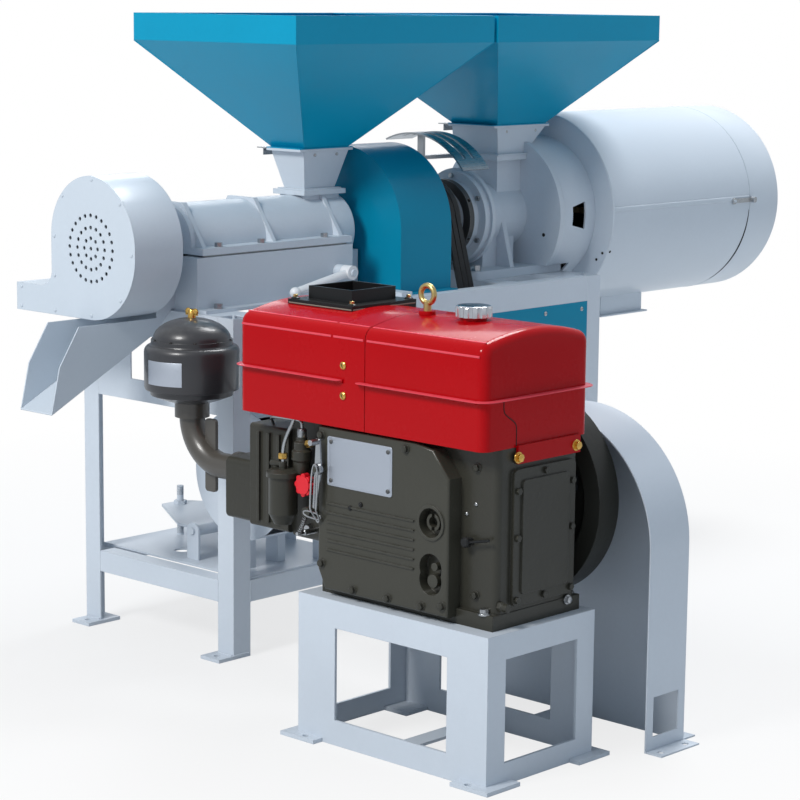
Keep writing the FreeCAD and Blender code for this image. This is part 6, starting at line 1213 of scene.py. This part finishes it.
class MACHINE_OT_studio(bpy.types.Operator):
    """Camera at the photograph's place, pale floor, soft lamps and white surroundings"""

    bl_idname = "machine.studio"
    bl_label = "Studio"

    def execute(self, context):
        self.camera(context)
        self.floor(context)
        self.world(context)
        self.lamp("key", (-5.6, -0.4, 5.0), (-0.2, -0.4, 0.7), 2.0, 295.0, (1.0, 0.99, 0.97))
        self.lamp("top", (2.2, 0.2, 5.0), (1.1, 0.0, 1.1), 2.2, 205.0, (0.98, 0.99, 1.0))
        self.lamp("back", (4.5, 4.8, 4.4), (0.3, 0.0, 0.9), 3.4, 90.0, (0.95, 0.97, 1.0))
        context.scene.view_settings.view_transform = "Standard"
        return {"FINISHED"}

    def aim(self, name, data, place_at, right, up, back):
        """Puts a camera or lamp in the scene by its place and its three directions."""
        aimed = bpy.data.objects.new(name, data)
        turn = Matrix(np.column_stack([right, up, back]).tolist()).to_4x4()
        aimed.matrix_world = Matrix.Translation(place_at) @ turn
        bpy.context.scene.collection.objects.link(aimed)
        return aimed

    def camera(self, context):
        """The camera, turned by its yaw and pitch and rolled about its own line of sight."""
        yaw, pitch, roll = (math.radians(v) for v in (CAMERA_YAW, CAMERA_PITCH, CAMERA_ROLL))
        back = np.array((math.sin(yaw) * math.cos(pitch), -math.cos(yaw) * math.cos(pitch), math.sin(pitch)))
        level = unit(np.cross(-back, Z))
        upright = np.cross(level, -back)
        right = math.cos(roll) * level + math.sin(roll) * upright
        up = -math.sin(roll) * level + math.cos(roll) * upright
        data = bpy.data.cameras.new("camera")
        data.sensor_width = 36.0
        data.lens = CAMERA_LENS
        data.clip_end = 60.0
        context.scene.camera = self.aim("camera", data, CAMERA_PLACE, right, up, back)

    def floor(self, context):
        """A round sheet of rings, pale by its own light further out so that no edge shows."""
        radius = np.linspace(0, 9.0, 10)
        ring = np.column_stack([circle(1.0, 48), np.zeros(48)])
        points, faces = grid_mesh(radius[:, None, None] * ring)
        mesh = bpy.data.meshes.new("floor")
        mesh.from_pydata(points, [], faces)
        floor = bpy.data.objects.new("floor", mesh)
        context.scene.collection.objects.link(floor)
        material, tree, shader = blank_finish("floor_white")
        point = object_point(tree)
        colour = opaque(context.scene.machine_colours.floor)
        dim = opaque(0.985 * part for part in colour[:3])
        feed(tree, shader, {"Base Color": blend_colour(tree, noise(tree, point, 3.0), colour, dim),
                            "Roughness": 0.85})
        reach = place(tree, "ShaderNodeVectorMath", {0: point}, operation="LENGTH").outputs["Value"]
        seen = place(tree, "ShaderNodeLightPath").outputs["Is Camera Ray"]
        glow = place(tree, "ShaderNodeEmission", {"Strength": 1.0})
        veil = calc(tree, "MULTIPLY", spread(tree, reach, 0.9, 2.5, 0.74, 1.0), seen)
        mixed = place(tree, "ShaderNodeMixShader", {"Fac": veil, 1: shader.outputs[0], 2: glow.outputs[0]})
        feed(tree, tree.nodes["Material Output"], {"Surface": mixed.outputs[0]})
        floor.data.materials.append(material)

    def world(self, context):
        """White for the camera, a third of that in mirrors, and a soft bluish light for the rest."""
        world = bpy.data.worlds.new("studio")
        world.use_nodes = True
        tree = world.node_tree
        tree.nodes.clear()
        light = place(tree, "ShaderNodeBackground", {"Color": (0.80, 0.92, 1.06, 1), "Strength": 0.47})
        white = place(tree, "ShaderNodeBackground", {"Color": (1, 1, 1, 1), "Strength": 1.0})
        seen = place(tree, "ShaderNodeLightPath").outputs
        mirrored = calc(tree, "MAXIMUM", seen["Is Glossy Ray"], seen["Is Transmission Ray"])
        rays = calc(tree, "MAXIMUM", seen["Is Camera Ray"], calc(tree, "MULTIPLY", mirrored, 0.3))
        mixed = place(tree, "ShaderNodeMixShader", {"Fac": rays, 1: light.outputs[0], 2: white.outputs[0]})
        place(tree, "ShaderNodeOutputWorld", {"Surface": mixed.outputs[0]})
        context.scene.world = world

    def lamp(self, name, place_at, target, size, power, colour):
        """A round lamp that faces a target."""
        data = bpy.data.lights.new(name, "AREA")
        data.shape = "DISK"
        data.size = size
        data.energy = power
        data.color = colour
        back = unit(np.array(place_at) - np.array(target))
        self.aim(name, data, place_at, *across(back), back)


STEPS = (MACHINE_OT_finishes, MACHINE_OT_frame_welds, MACHINE_OT_bolts, MACHINE_OT_tank_trim,
         MACHINE_OT_engine_trim, MACHINE_OT_drum_trim, MACHINE_OT_hopper_trim, MACHINE_OT_brushes,
         MACHINE_OT_tension_thread, MACHINE_OT_studio)


class MACHINE_PT_panel(bpy.types.Panel):
    """Lists the dressing steps with their sizes and colours"""

    bl_label = "Corn peeling machine"
    bl_idname = "MACHINE_PT_panel"
    bl_space_type = "VIEW_3D"
    bl_region_type = "UI"
    bl_category = "Machine"

    def draw(self, context):
        for settings in (context.scene.machine_sizes, context.scene.machine_colours):
            box = self.layout.box()
            for name in type(settings).__annotations__:
                box.prop(settings, name)
        for step in STEPS:
            self.layout.operator(step.bl_idname)


CLASSES = (MachineColours, MachineSizes) + STEPS + (MACHINE_PT_panel,)


def register():
    for item in CLASSES:
        bpy.utils.register_class(item)
    bpy.types.Scene.machine_colours = PointerProperty(type=MachineColours)
    bpy.types.Scene.machine_sizes = PointerProperty(type=MachineSizes)


def unregister():
    del bpy.types.Scene.machine_sizes
    del bpy.types.Scene.machine_colours
    for item in reversed(CLASSES):
        bpy.utils.unregister_class(item)


def main():
    register()
    for step in STEPS:
        group, action = step.bl_idname.split(".")
        getattr(getattr(bpy.ops, group), action)()


if __name__ == "__main__":
    main()
